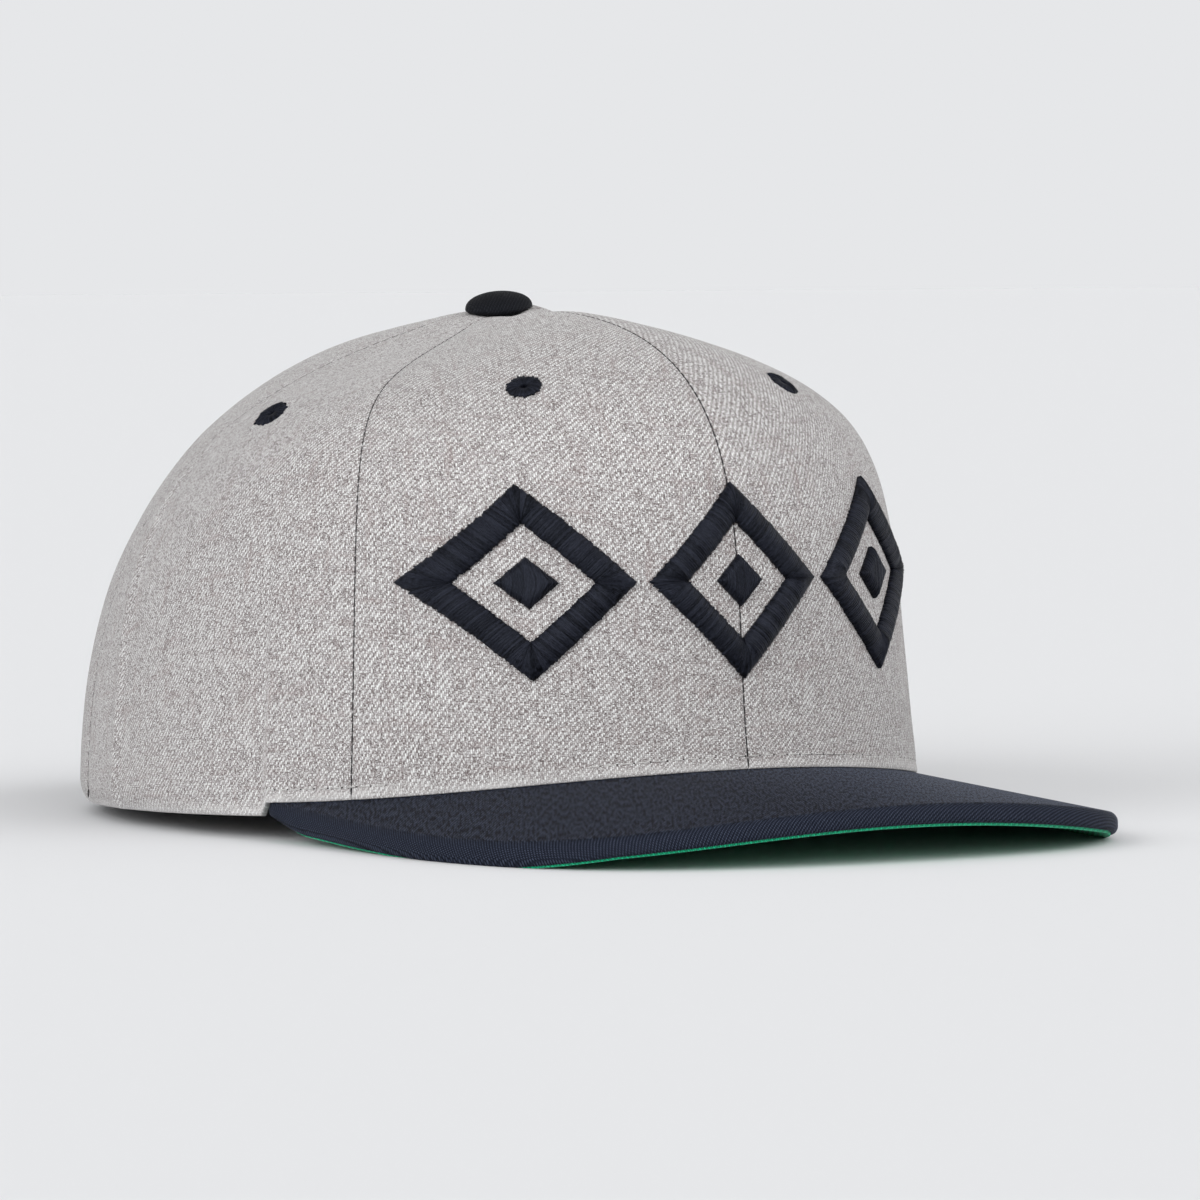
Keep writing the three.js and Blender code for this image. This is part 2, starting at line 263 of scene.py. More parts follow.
corner_heights = bill_shape(*outline(np.linspace(0, 1, 19)).T)
BILL_HEIGHT = BILL_THICK - corner_heights.min()


def bill_top(x, y):
    return BILL_HEIGHT + bill_shape(x, y)


EDGE_AT_END = bill_top(*rim_plan(BILL_END)) - EDGE_STEP
print(f"the bill's middle stands {BILL_HEIGHT * 1000:.2f} mm above the floor, and its corners touch it")


# %% Shape of the crown
def dip(distance, depth, reach):
    """A smooth hollow that fades with the distance from its middle."""
    return depth * np.exp(-((distance / reach) ** 2))


def section(column, angle):
    front, ahead, behind, back = SECTIONS[column]
    mean = (front + 2 * ahead + 2 * behind + back) / 6
    once = (front + ahead - behind - back) / 3
    twice = (front - ahead - behind + back) / 3
    thrice = (front - 2 * ahead + 2 * behind - back) / 6
    return mean + once * np.cos(angle) + twice * np.cos(2 * angle) + thrice * np.cos(3 * angle)


def behind_bill(angle):
    return np.clip((np.abs(angle) - BILL_END) / (EDGE_REST - BILL_END), 0, 1)


def free_edge(angle):
    return EDGE_AT_END * (1 - behind_bill(angle)) ** EDGE_FALL


def rim_on_bill(angle):
    """Height of the bill's top at the rim."""
    return bill_top(*np.moveaxis(rim_plan(angle), -1, 0))


def base_line(angle):
    behind = free_edge(angle) + EDGE_STEP * (1 - behind_bill(angle)) ** 2
    return np.where(np.abs(angle) <= BILL_END, rim_on_bill(angle), behind)


def lower_edge(angle):
    """Height of the crown's lower edge: on the bill, or dropping past its end."""
    drop = np.clip((np.abs(angle) - DROP_START) / (DROP_END - DROP_START), 0, 1)
    return lerp(rim_on_bill(angle), free_edge(angle), drop)


def crown_point(angle, share):
    angle, share = np.broadcast_arrays(angle, share)
    base = base_line(angle)
    rise = HEIGHT - base
    shoulder = section("shoulder", angle)
    reach = bezier(share, 1, 1 + section("lean", angle), shoulder, 0)
    shoulder_height = HEIGHT - section("fall", angle) * shoulder * TOP_SPAN
    height = bezier(share, base, base + section("wall", angle) * rise, shoulder_height, HEIGHT)
    plan = rim_plan(angle)
    x, y = plan[..., 0] * reach, lerp(TOP_Y, plan[..., 1], reach)
    from_top = np.hypot(x, y - TOP_Y)
    rumpled = section("rumple", angle) * from_top + RUMPLE_TILT * x
    raised = dip(from_top, rumpled, RUMPLE_REACH) - dip(from_top, DIMPLE, DIMPLE_REACH)
    return np.stack([x, y, height + raised], -1)


def crown_slopes(angle, share, step=1e-3):
    along = (crown_point(angle + step, share) - crown_point(angle - step, share)) / (2 * step)
    up = (crown_point(angle, share + step) - crown_point(angle, share - step)) / (2 * step)
    return along, up


def crown_normal(angle, share):
    along, up = crown_slopes(angle, share)
    return unit(np.cross(up, along))


def wall_share(angle, height):
    """Share of the section where the crown reaches a height, which may be a little below its rim."""
    return halve(-0.05, 1, lambda share: crown_point(angle, share)[..., 2] < height)


def front_place(x, height):
    """Angle and share of the point on the crown's front at a sideways place and a height."""
    angle = halve(-BILL_END, BILL_END, lambda turn: crown_point(turn, wall_share(turn, height))[..., 0] > x)
    return angle, wall_share(angle, height)


# %% [markdown]
# ## Crown panels
# Each panel is cut flat, sewn to its neighbours with the edges turned in, and steamed over a form. So its
# outer face rolls over at the seams and at the lower edge, and dips a little along the stitches. A Solidify
# modifier gives the wall, and then the inner face is set straight where the outer one rolls.

# %% Sizes of a panel's edges
COLUMNS = 88
ROWS = 118
PANEL_TOP = 0.985
EDGE_STEPS = np.array([0, 0.00008, 0.0002, 0.0004, 0.0008])
SEAM_GAP = 0.00008
SEAM_ROLL = 0.0004
HEM_ROLL = 0.0006
JOINT_GAP = 0.00008
TOPSTITCH_RISE = 0.0027
TOPSTITCH_END = math.radians(72)
# Depth and reach of the hollow along a seam, and along the edge stitches
SEAM_DIP = (0.00022, 0.0022)
TOPSTITCH_DIP = (0.00016, 0.0007)


def seam_angle(seam, share):
    rim, turn = SEAMS[seam]
    return np.radians(rim + turn * share**2)


def roll(distance, radius):
    """How far a rounded edge has dropped at a distance from its end."""
    left = np.clip(radius - distance, 0, radius)
    return radius - np.sqrt(radius**2 - left**2)


def edged(count, width):
    """Distances of count + 1 lines across a width, close together near both edges."""
    steps = np.minimum(EDGE_STEPS, width[..., None] * 0.004 * np.arange(len(EDGE_STEPS)))
    last = steps[..., -1:]
    middle = np.linspace(0, 1, count + 3 - 2 * len(EDGE_STEPS))[1:-1]
    inner = last + (width[..., None] - 2 * last) * middle
    return np.concatenate([steps, inner, width[..., None] - steps[..., ::-1]], -1)


# %% Unevenness of the cloth
# Height, size and seed of the waves in it, and the width beside an edge where they fade
WAVES = ((0.00028, 0.026, 3), (0.00009, 0.009, 11))
CALM_EDGE = 0.006


def wander(points, size, seed):
    """Smooth noise from -1 to 1 at each point, with bumps of about the given size."""
    flat = points.reshape(-1, 3) / size
    found = [noise.noise(Vector((x + seed, y, z))) for x, y, z in flat]
    return np.array(found).reshape(points.shape[:-1])


# The turned-in edge behind each side panel shows as a soft ridge up its rear part
RIDGE_LOW = 99
RIDGE_TURN = 21
RIDGE_HEIGHT = 0.0008
RIDGE_WIDTH = 0.002
RIDGE_FADE = (0.45, 0.72)


def ridge(angle, share, speed):
    middle = np.radians(RIDGE_LOW + RIDGE_TURN * np.clip(share, 0, 1) ** 2)
    distance = (np.abs(angle) - middle) * speed
    fade = 1 - np.clip((share - RIDGE_FADE[0]) / (RIDGE_FADE[1] - RIDGE_FADE[0]), 0, 1)
    return dip(distance, RIDGE_HEIGHT, RIDGE_WIDTH) * fade**2 * (3 - 2 * fade)


# %% Eyelet places
# Plan angles in degrees on the right and the left, and the share of the section from the rim
EYELETS = {"front": (30, 25.5, 0.628), "side": (86, 86, 0.63), "back": (156, 156, 0.57)}


def eyelet_frame(panel, side):
    """Centre of an eyelet on the crown, and its directions to the side, up the crown and out."""
    right, left, share = EYELETS[panel]
    angle = math.radians(right if side > 0 else -left)
    centre, out = crown_point(angle, share), crown_normal(angle, share)
    up = crown_slopes(angle, share)[1]
    up = unit(up - out * (up @ out))
    return centre, np.cross(up, out), up, out


# The dense stitches of a side eyelet pucker the cloth, so it leans forward and down there
PUCKER = (0.25, -0.105)
PUCKER_REACH = 0.0062


def pucker(base, side):
    centre, sideways, up, _ = eyelet_frame("side", side)
    away = base - centre
    leaning = side * PUCKER[0] * (away @ sideways) + PUCKER[1] * (away @ up)
    return -leaning * np.exp(-((np.linalg.norm(away, axis=-1) / PUCKER_REACH) ** 4))


# Behind the bill the lower edge curls in
TUCK = 0.0019
TUCK_HEIGHT = 0.0048


def tuck(angle, height_above):
    left = np.clip(1 - height_above / TUCK_HEIGHT, 0, 1)
    return TUCK * left**2 * np.clip(4 * behind_bill(angle), 0, 1)


# %% Table of a panel's points
def panel_table(panel, side):
    """Outer points, inner points and cloth lengths of a panel, by column and row."""
    start, end = PANELS[panel]
    nominal = PANEL_TOP * np.linspace(0, 1, ROWS + 1)
    first, last = seam_angle(start, nominal), seam_angle(end, nominal)
    speed = np.linalg.norm(crown_slopes((first + last) / 2, nominal)[0], axis=-1)
    width = speed * (last - first) - SEAM_GAP
    across = edged(COLUMNS, width).T
    angle = side * (first + (across + SEAM_GAP / 2) / speed)
    climb = np.linalg.norm(crown_slopes(angle, 0)[1], axis=-1)
    edge = (lower_edge(angle) + JOINT_GAP - base_line(angle)) / climb
    even = np.linspace(0, PANEL_TOP, ROWS + 2 - len(EDGE_STEPS))[1:]
    rows = np.concatenate([EDGE_STEPS / climb.mean(), even])
    share = edge * (1 - rows / PANEL_TOP) + rows
    speed = np.linalg.norm(crown_slopes(angle, share)[0], axis=-1)

    base, normal = crown_point(angle, share), crown_normal(angle, share)
    seam = np.minimum(across, width - across)
    hem = (share - edge) * climb
    base = base - normal * tuck(angle, hem)[..., None]
    sunk = np.maximum(roll(seam, SEAM_ROLL), roll(hem, HEM_ROLL)) + dip(seam, *SEAM_DIP)
    stitched = np.abs(angle) < TOPSTITCH_END
    sunk = sunk + dip(hem - TOPSTITCH_RISE, *TOPSTITCH_DIP) * stitched
    raised = ridge(angle, share, speed) + pucker(base, side) if panel == "side" else 0
    uneven = sum(height * wander(base, size, seed) for height, size, seed in WAVES)
    calm = np.clip(seam / CALM_EDGE, 0, 1) * np.clip(hem / CALM_EDGE, 0, 1)
    outer = base + normal * (raised + uneven * calm - sunk)[..., None]
    inner = base - normal * WALL

    walked = -side * lengths_along(base, 0)
    middle = walked.shape[0] // 2
    up = lengths_along(base, 1)[middle]
    cloth = np.stack([walked - walked[middle], np.broadcast_to(up, walked.shape)], -1)
    return outer, inner, cloth


# %% Open the cloth for an eyelet
HOLE = 0.0016
HOLE_CLEARED = 0.0021


def open_hole(piece, centre, out):
    """Deletes the cloth round a centre, draws the two edges into circles and bridges them."""
    away = vertex_places(piece) - centre
    depth = away @ out
    reach = np.linalg.norm(away - depth[:, None] * out, axis=1)
    near = (reach < HOLE_CLEARED) & (np.abs(depth) < 3 * WALL)
    select_vertices(piece, near)
    bpy.ops.mesh.delete(type="VERT")
    bpy.ops.mesh.select_all(action="DESELECT")
    bpy.ops.mesh.select_non_manifold()
    bpy.ops.object.mode_set(mode="OBJECT")
    places = vertex_places(piece)
    rim = np.array([vertex.select for vertex in piece.data.vertices])
    away = places[rim] - centre
    depth = (away @ out)[:, None]
    places[rim] = centre + HOLE * unit(away - depth * out) + depth * out
    move_vertices(piece, places)
    bpy.ops.object.mode_set(mode="EDIT")
    bpy.ops.mesh.bridge_edge_loops()
    bpy.ops.object.mode_set(mode="OBJECT")


# %% Build the panels
def build_panel(panel, side_name):
    side = SIDES[side_name]
    tables = panel_table(panel, side)
    if side > 0:
        tables = [table[::-1] for table in tables]
    outer, inner, cloth = tables
    piece, column, row = grid_piece(f"crown_{panel}_{side_name}", outer, cloth)
    area = area_of(piece)
    wall = piece.modifiers.new("Wall", "SOLIDIFY")
    wall.thickness = WALL
    wall.offset = -1
    apply_modifiers(piece)
    places = vertex_places(piece)
    count = len(column)
    places[count : 2 * count] = inner[column, row]
    on_bill = places[:, 2] < bill_top(places[:, 0], places[:, 1]) + JOINT_GAP
    near_joint = on_bill & (places[:, 1] < rim_plan(BILL_END)[1])
    places[near_joint, 2] = bill_top(places[near_joint, 0], places[near_joint, 1]) + JOINT_GAP
    places[:, 2] = np.maximum(places[:, 2], 0)
    move_vertices(piece, places)
    centre, _, _, out = eyelet_frame(panel, side)
    open_hole(piece, centre, out)
    smooth(piece)
    flat = flat_size(cloth)
    print(f"{piece.name}: {flat[0] * 1000:.0f} x {flat[1] * 1000:.0f} mm flat, {triangles(piece)} triangles")
    return piece, flat, area


panels = {}
for panel_name in PANELS:
    for side_name in SIDES:
        panels[panel_name, side_name] = build_panel(panel_name, side_name)

# %% [markdown]
# ## Bill
# A flat board is covered with the dark cloth, which wraps over its edge, and the green cloth is sewn on
# underneath. So the section is a closed loop: along the top, over a rounded edge, and back below. The loop
# is swept round the outline in a grid, which keeps the weave continuous over the edge.

# %% Section of a bill layer
BILL_COLUMNS = 260
TIP_ROUND = 0.0016
# The bill thins to a point over this length at each end, down to this share of its thickness
TIP_TAPER = 0.016
TIP_THIN = 0.4
RIM_WIDTH = 0.0016
RIM_DEPTH = 0.0039
# Radii of the cover's two rounded edges, and of the green cover's
UPPER_ROUND = 0.0017
LOWER_ROUND = 0.0012
UNDER_ROUND = 0.0003
# Where the bill is narrower than this, its edge shrinks with it
NARROW = 0.004
# On the sides the rim reaches this much lower, over the seam with the green cloth
SIDE_RIM = 0.0011
SIDE_SHARE = (0.5, 0.66)


def quarter_turn(past, depth, radius, start):
    """Steps round a corner of the section, through a right angle."""
    angles = start + np.linspace(0, math.pi / 2, 7)
    return [(1, past + radius * math.sin(a), depth - radius * math.cos(a)) for a in angles]


def cover_section():
    """Steps of the dark cover's loop: share of the way to the edge, how far past it, and depth.
    It wraps over the board's edge, and a rim of it is turned under."""
    inside_rim = -RIM_WIDTH - 0.0002
    steps = [(share, -UPPER_ROUND, 0) for share in np.linspace(0, 1, 46)[:-1]]
    steps += quarter_turn(-UPPER_ROUND, UPPER_ROUND, UPPER_ROUND, 0)
    steps += quarter_turn(-LOWER_ROUND, RIM_DEPTH - LOWER_ROUND, LOWER_ROUND, math.pi / 2)
    steps += [(1, -RIM_WIDTH, RIM_DEPTH), (1, inside_rim, TOP_THICK)]
    steps += [(share, inside_rim, TOP_THICK) for share in np.linspace(1, 0, 36)[1:]]
    return np.array([*steps, steps[0]])


def under_section():
    """Steps of the green cover's loop, sewn inside that rim."""
    top, bottom, radius = TOP_THICK + LAYER_GAP / 3, BILL_THICK, UNDER_ROUND
    past = -RIM_WIDTH + 0.0001 - radius
    steps = [(share, past, top) for share in np.linspace(0, 1, 40)[:-1]]
    steps += quarter_turn(past, top + radius, radius, 0)
    steps += quarter_turn(past, bottom - radius, radius, math.pi / 2)
    steps += [(share, past, bottom) for share in np.linspace(1, 0, 40)[1:]]
    return np.array([*steps, steps[0]])


# %% Sweep it round the outline
def bill_layer(name, loop):
    across = np.linspace(-1, 1, BILL_COLUMNS + 1)
    half = 1 - np.abs(across) ** 1.25
    side = np.where(across < 0, 1, -1)
    edge = outline(half) * np.stack([side, np.ones_like(side)], -1)
    angle = side * BILL_END * (1 - half)
    joint = crown_point(angle, 0.0)[:, :2] - WALL * unit(crown_normal(angle, 0.0)[:, :2])
    tangent = np.gradient(edge, axis=0)
    out = unit(np.stack([tangent[:, 1], -tangent[:, 0]], -1))
    walked = lengths_along(edge, 0)
    from_end = np.minimum(walked, walked[-1] - walked)
    edge = edge - out * roll(from_end, TIP_ROUND)[:, None]

    share, past, depth = loop.T
    width = np.linalg.norm(edge - joint, axis=1)
    past = past[None, :] * np.minimum(1, width / NARROW)[:, None]
    limit = edge[:, None, :] + out[:, None, :] * past[..., None]
    plan = lerp(joint[:, None, :], limit, share[None, :, None])
    lowered = np.clip((depth - TOP_THICK) / (RIM_DEPTH - TOP_THICK), 0, 1) * (past.max(0) > -RIM_WIDTH)
    beside = np.clip((SIDE_SHARE[1] - half) / (SIDE_SHARE[1] - SIDE_SHARE[0]), 0, 1)
    ends = np.clip(from_end / TIP_TAPER, 0, 1)
    thinned = lerp(TIP_THIN, 1, np.sin(ends * math.pi / 2))
    deep = (depth + SIDE_RIM * lowered * beside[:, None]) * thinned[:, None]
    points = np.stack([plan[..., 0], plan[..., 1], bill_top(plan[..., 0], plan[..., 1]) - deep], -1)
    points[..., 2] = np.maximum(points[..., 2], 0)

    first = int(np.argmax(share >= 1))
    wrapped = np.concatenate([[0], np.cumsum(np.hypot(np.diff(past.mean(0)), np.diff(depth)))])
    beyond = np.where(np.arange(len(share)) > first, wrapped - wrapped[first], 0)
    cloth = plan + out[:, None, :] * beyond[None, :, None] * (share >= 1)[None, :, None]
    piece, _, _ = grid_piece(name, points, cloth)
    close_body(piece, open_ends=True)
    size = flat_size(cloth)
    print(f"{name}: {size[0] * 1000:.0f} x {size[1] * 1000:.0f} mm, {triangles(piece)} triangles")
    return piece, size, area_of(piece) / 2


bill_cover, _, _ = bill_layer("bill_cover", cover_section())
under_cover, under_flat, under_area = bill_layer("bill_under_cover", under_section())

# %% [markdown]
# ## Sweatband
# A folded band goes once round inside the rim. It is a ring swept round the crown's inner face, with a
# rounded fold at its lower edge.

# %% Build the sweatband
BAND_HEIGHT = 0.032
BAND_THICK = 0.0012
BAND_CLEAR = 0.0008
BAND_LIFT = 0.0008
BAND_FOLD = 0.018
BAND_COLUMNS = 360
BAND_ROWS = 14


def build_band():
    angle = np.linspace(-math.pi, math.pi, BAND_COLUMNS + 1)[:, None]
    upward, downward = np.linspace(0, 1, BAND_ROWS), np.linspace(1, 0, BAND_ROWS)
    fold = np.linspace(0, math.pi, 7)[1:-1]
    share = np.concatenate([upward, downward, [0]])
    depth = np.concatenate([np.zeros(BAND_ROWS), np.ones(BAND_ROWS), [0]])
    corner = len(upward)
    share = np.insert(share, corner, 1 + BAND_FOLD * np.sin(fold))
    depth = np.insert(depth, corner, 0.5 - 0.5 * np.cos(fold))
    height = base_line(angle) + BAND_LIFT + BAND_HEIGHT * share[None, :]
    place = wall_share(np.broadcast_to(angle, height.shape), height)
    normal = crown_normal(angle, place)
    inward = WALL + BAND_CLEAR + BAND_THICK * depth
    points = crown_point(angle, place) - normal * inward[None, :, None]
    walked = lengths_along(points, 0)
    cloth = np.stack([walked, np.broadcast_to(BAND_HEIGHT * share, walked.shape)], -1)
    piece, _, _ = grid_piece("sweatband_cloth", points, cloth)
    close_body(piece)
    print(f"sweatband: {walked.max():.3f} m round, {triangles(piece)} triangles")
    return piece, [float(walked.max()), BAND_HEIGHT]


band, band_flat = build_band()

# %% [markdown]
# ## Button
# A metal shell is wrapped in the bill's cloth and riveted through the top. From a sphere, its upper half is
# flattened to a dome, and its underside is drawn in and laid on the cloth round it. The rivet's shank and
# washer, inside the crown, are plain cylinders joined to it.

# %% Build the button
BUTTON_RADIUS = 0.0071
BUTTON_TOP = HEIGHT + 0.0037
BUTTON_BELLY = HEIGHT + 0.0002
BUTTON_FOOT = 0.9
SKIRT_LEVEL = 0.62
GATHERS = 0.016
# It lies askew with the cloth, up towards the wearer's left and up towards the back
BUTTON_LEAN = (0.09, 0.063)
# Radius, lower end and upper end of the shank and the washer
RIVET = ((0.0012, HEIGHT - 0.0052, BUTTON_BELLY), (0.004, HEIGHT - 0.0056, HEIGHT - 0.0046))


def top_cloth(x, y):
    """Height of the crown's cloth close to the button."""
    angle = np.arctan2(-x / HALF_WIDTH, -(y - TOP_Y) / RIM_FRONT)
    reach = np.hypot(x / HALF_WIDTH, (y - TOP_Y) / RIM_FRONT)
    return crown_point(angle, 1 - reach / (3 * section("shoulder", angle)))[..., 2]


def build_button():
    clear_selection()
    bpy.ops.mesh.primitive_uv_sphere_add(segments=96, ring_count=48, radius=1)
    piece = bpy.context.object
    piece.name = "button_cover"
    ball = vertex_places(piece)
    level = ball[:, 2]
    flat = np.linalg.norm(ball[:, :2], axis=1)
    turn = np.arctan2(ball[:, 1], ball[:, 0])
    down = np.clip(-level / SKIRT_LEVEL, 0, 1)
    foot_width = math.sqrt(1 - SKIRT_LEVEL**2)
    skirt = np.where(down < 1, 1 - (1 - BUTTON_FOOT) * down**2, BUTTON_FOOT * flat / foot_width)
    gathers = np.sin(9 * turn + 2.2 * np.sin(2 * turn) + 1.0) + 0.6 * np.sin(17 * turn)
    reach = np.where(level < 0, skirt * (1 + GATHERS * gathers * down), flat) * BUTTON_RADIUS
    x, y = reach * np.cos(turn), TOP_Y + reach * np.sin(turn)
    leaning = BUTTON_LEAN[0] * x + BUTTON_LEAN[1] * (y - TOP_Y)
    belly = BUTTON_BELLY + leaning
    dome = belly + (BUTTON_TOP - BUTTON_BELLY) * np.clip(level, 0, 1) ** 0.9
    lower = lerp(belly, top_cloth(x, y) + 0.0001, down**0.9)
    move_vertices(piece, np.stack([x, y, np.where(level >= 0, dome, lower)], -1))
    lay_cloth(piece, np.stack([ball[:, 0], ball[:, 1] + 0.4 * level], -1) * BUTTON_RADIUS)
    smooth(piece)
    for radius, low, high in RIVET:
        middle = (0, TOP_Y, (low + high) / 2)
        bpy.ops.mesh.primitive_cylinder_add(vertices=32, radius=radius, depth=high - low, location=middle)
        part = bpy.context.object
        pick(part)
        bpy.ops.object.transform_apply(location=True, rotation=True, scale=True)
        part.data.uv_layers.active.name = "Cloth"
        piece.select_set(True)
        bpy.context.view_layer.objects.active = piece
        bpy.ops.object.join()
    print(f"button: {triangles(piece)} triangles")
    return piece


button = build_button()

# %% [markdown]
# ## Satin stitch
# Eyelets and motif are satin stitch: thread laid side by side, from one edge of a bar to the other. Each
# thread is modelled, as a wave in the bar's surface with a crest a thread's pitch apart, because the threads
# catch the light one by one and leave the bar with a serrated edge.

# %% Shape of a satin bar
THREAD_PITCH = 0.00046
STEPS_PER_THREAD = 4
THREAD_PROUD = 0.00014


def satin(threads, seed):
    """Proudness of the surface at each station along a bar, and how much longer each thread is."""
    rng = np.random.default_rng(seed)
    station = np.arange(threads * STEPS_PER_THREAD)
    wave = 0.5 - 0.5 * np.cos(2 * math.pi * station / STEPS_PER_THREAD)
    thread = station // STEPS_PER_THREAD
    lift = rng.normal(0, 0.35, threads)[thread]
    longer = rng.normal(0, 1, threads)[thread]
    return wave * (1 + lift), longer * (0.4 + 0.6 * wave)


# %% Eyelets
EYELET_RADIUS = 0.00365
EYELET_BORE = 0.0008
EYELET_RISE = 0.0005
EYELET_THREADS = 44
EYELET_FRAY = 0.0004
# Radius and height of the sleeve from inside up, of the ring's back, and of the thread inside the crown
SLEEVE = ((EYELET_BORE, -0.0035), (EYELET_BORE, -0.0014), (EYELET_BORE * 0.96, -0.0003))
RING_BACK = ((EYELET_RADIUS - 0.0003, -0.0003), (0.0013, -0.0003), (0.0013, -WALL - 0.0008))
RING_INSIDE = (
    (0.0033, -WALL - 0.0008),
    (0.0036, -WALL - 0.0011),
    (0.0032, -WALL - 0.0015),
    (EYELET_BORE, -0.0035),
)


def eyelet_ring():
    """One stitched ring round the origin, facing +Z, with its sleeve down through the cloth."""
    wave, longer = satin(EYELET_THREADS, 5)
    turn = 2 * math.pi * np.arange(len(wave) + 1) / len(wave)
    wave, longer = np.append(wave, wave[0]), np.append(longer, longer[0])
    arc = np.linspace(0, 1, 15)
    radius = EYELET_BORE + (EYELET_RADIUS - EYELET_BORE) * arc
    height = 0.0001 + EYELET_RISE * np.sin(math.pi * (0.13 + 0.87 * arc)) ** 0.75
    stitched = np.stack([radius, height], -1)
    radius, height = np.concatenate([SLEEVE, stitched, RING_BACK, RING_INSIDE]).T
    shown = np.zeros(len(radius))
    shown[3:18] = np.sin(math.pi * np.linspace(0.05, 0.75, 15))
    edge = np.zeros(len(radius))
    edge[3:19] = np.linspace(0, 1, 16) ** 4
    reach = radius[None, :] + EYELET_FRAY * longer[:, None] * edge[None, :]
    rise = height[None, :] + THREAD_PROUD * wave[:, None] * shown[None, :]
    points = np.stack([reach * np.cos(turn)[:, None], reach * np.sin(turn)[:, None], rise], -1)
    cloth = np.stack([np.broadcast_to(turn[:, None] * EYELET_RADIUS, reach.shape), reach], -1)
    ring, _, _ = grid_piece("eyelet_ring", points, cloth)
    close_body(ring)
    return ring


def build_eyelets():
    model = eyelet_ring()
    made = {}
    for number, (panel, side_name) in enumerate(panels):
        piece = copy_of(model)
        piece.name = f"eyelet_stitches_{panel}_{side_name}"
        side = SIDES[side_name]
        centre, sideways, up, out = eyelet_frame(panel, side)
        if panel == "side":
            out = out + side * PUCKER[0] * sideways + PUCKER[1] * up
        facing = Vector(out).to_track_quat("Z", "Y").to_matrix().to_4x4()
        piece.data.transform(Matrix.Translation(centre) @ facing @ Matrix.Rotation(number, 4, "Z"))
        made[panel, side_name] = piece
    print(f"{len(made)} eyelets of {triangles(model)} triangles")
    bpy.data.objects.remove(model)
    return made


eyelets = build_eyelets()

# %% [markdown]
# ## Front motif
# Three plain diamonds in raised satin stitch. Along a side the threads lie straight across the bar, and at
# each corner they fan round the inner corner, as an embroidery machine lays them.

# %% Sizes of the motif
MOTIF_HALF_WIDTH = 0.019
MOTIF_HALF_HEIGHT = 0.0195
MOTIF_STROKE = 0.0054
MOTIF_PITCH = 0.0405
MOTIF_HEIGHT = 0.0525
MOTIF_DOT = 0.0052
MOTIF_THICK = 0.0019
MOTIF_FRAY = 0.00012
MOTIF_SUNK = 0.0001
MOTIF_PLACES = {"right": -1, "middle": 0, "left": 1}


def on_front(x, height, out):
    """Points on the crown's front at sideways places and heights, moved out from the cloth."""
    angle, share = front_place(x, height)
    return crown_point(angle, share) + crown_normal(angle, share) * out[..., None]


def satin_bar(name, place, flat, out, ring=False):
    """A bar of satin stitch from places on the motif by station and place across, and their height. Its
    underside lies flat in the cloth. A ring's last station meets its first."""
    x, height = MOTIF_PITCH * place + flat[..., 0], MOTIF_HEIGHT + flat[..., 1]
    edges = [-1, 0]
    top = on_front(x, height, out)
    under = on_front(x[:, edges], height[:, edges], np.full((len(x), 2), -MOTIF_SUNK))
    points = np.concatenate([top, under, top[:, :1]], 1)
    if ring:
        points = np.concatenate([points, points[:1]])
    walked, width = lengths_along(points, 0), lengths_along(points, 1)
    if ring:
        walked = np.broadcast_to(walked[:, -2:-1], walked.shape)
    piece, _, _ = grid_piece(name, points, np.stack([walked, width], -1))
    close_body(piece)
    return piece


# %% Diamond outline
def diamond_corners(inside):
    flank = MOTIF_HALF_WIDTH * MOTIF_HALF_HEIGHT / math.hypot(MOTIF_HALF_WIDTH, MOTIF_HALF_HEIGHT)
    size = 1 - inside * MOTIF_STROKE / flank
    width, height = MOTIF_HALF_WIDTH * size, MOTIF_HALF_HEIGHT * size
    return np.array([(width, 0), (0, height), (-width, 0), (0, -height)])


def diamond_threads():
    """Inner and outer end of each station round the outline, in the plane of the motif."""
    outer, inner = diamond_corners(0), diamond_corners(1)
    ends = []
    for corner in range(4):
        following = (corner + 1) % 4
        side = outer[following] - outer[corner]
        length = np.linalg.norm(side)
        count = STEPS_PER_THREAD * round(length / THREAD_PITCH)
        share = np.arange(count) / count
        along = side / length
        begin = (inner[corner] - outer[corner]) @ along / length
        inner_share = np.clip((share - begin) / (1 - 2 * begin), 0, 1)
        inner_end = lerp(inner[corner], inner[following], inner_share[:, None])
        outer_end = lerp(outer[corner], outer[following], share[:, None])
        ends.append(np.stack([inner_end, outer_end], 1))
    return np.concatenate(ends)


def build_diamond(name, place, seed):
    ends = diamond_threads()
    wave, longer = satin(len(ends) // STEPS_PER_THREAD, seed)
    across = np.linspace(0, 1, 13)
    bulge = np.sin(math.pi * (0.06 + 0.88 * across)) ** 0.55
    fray = MOTIF_FRAY * longer[:, None] * (np.abs(2 * across - 1) ** 6 * np.sign(across - 0.5))[None, :]
    direction = unit(ends[:, 1] - ends[:, 0])
    flat = lerp(ends[:, None, 0], ends[:, None, 1], across[None, :, None])
    flat = flat + direction[:, None, :] * fray[..., None]
    out = MOTIF_THICK * bulge[None, :] + THREAD_PROUD * wave[:, None] * np.sin(math.pi * across)[None, :]
    return satin_bar(name, place, flat, out, ring=True)


# %% Small diamond at the middle
# Its height as a share of the outline's
DOT_HEIGHT = 0.85


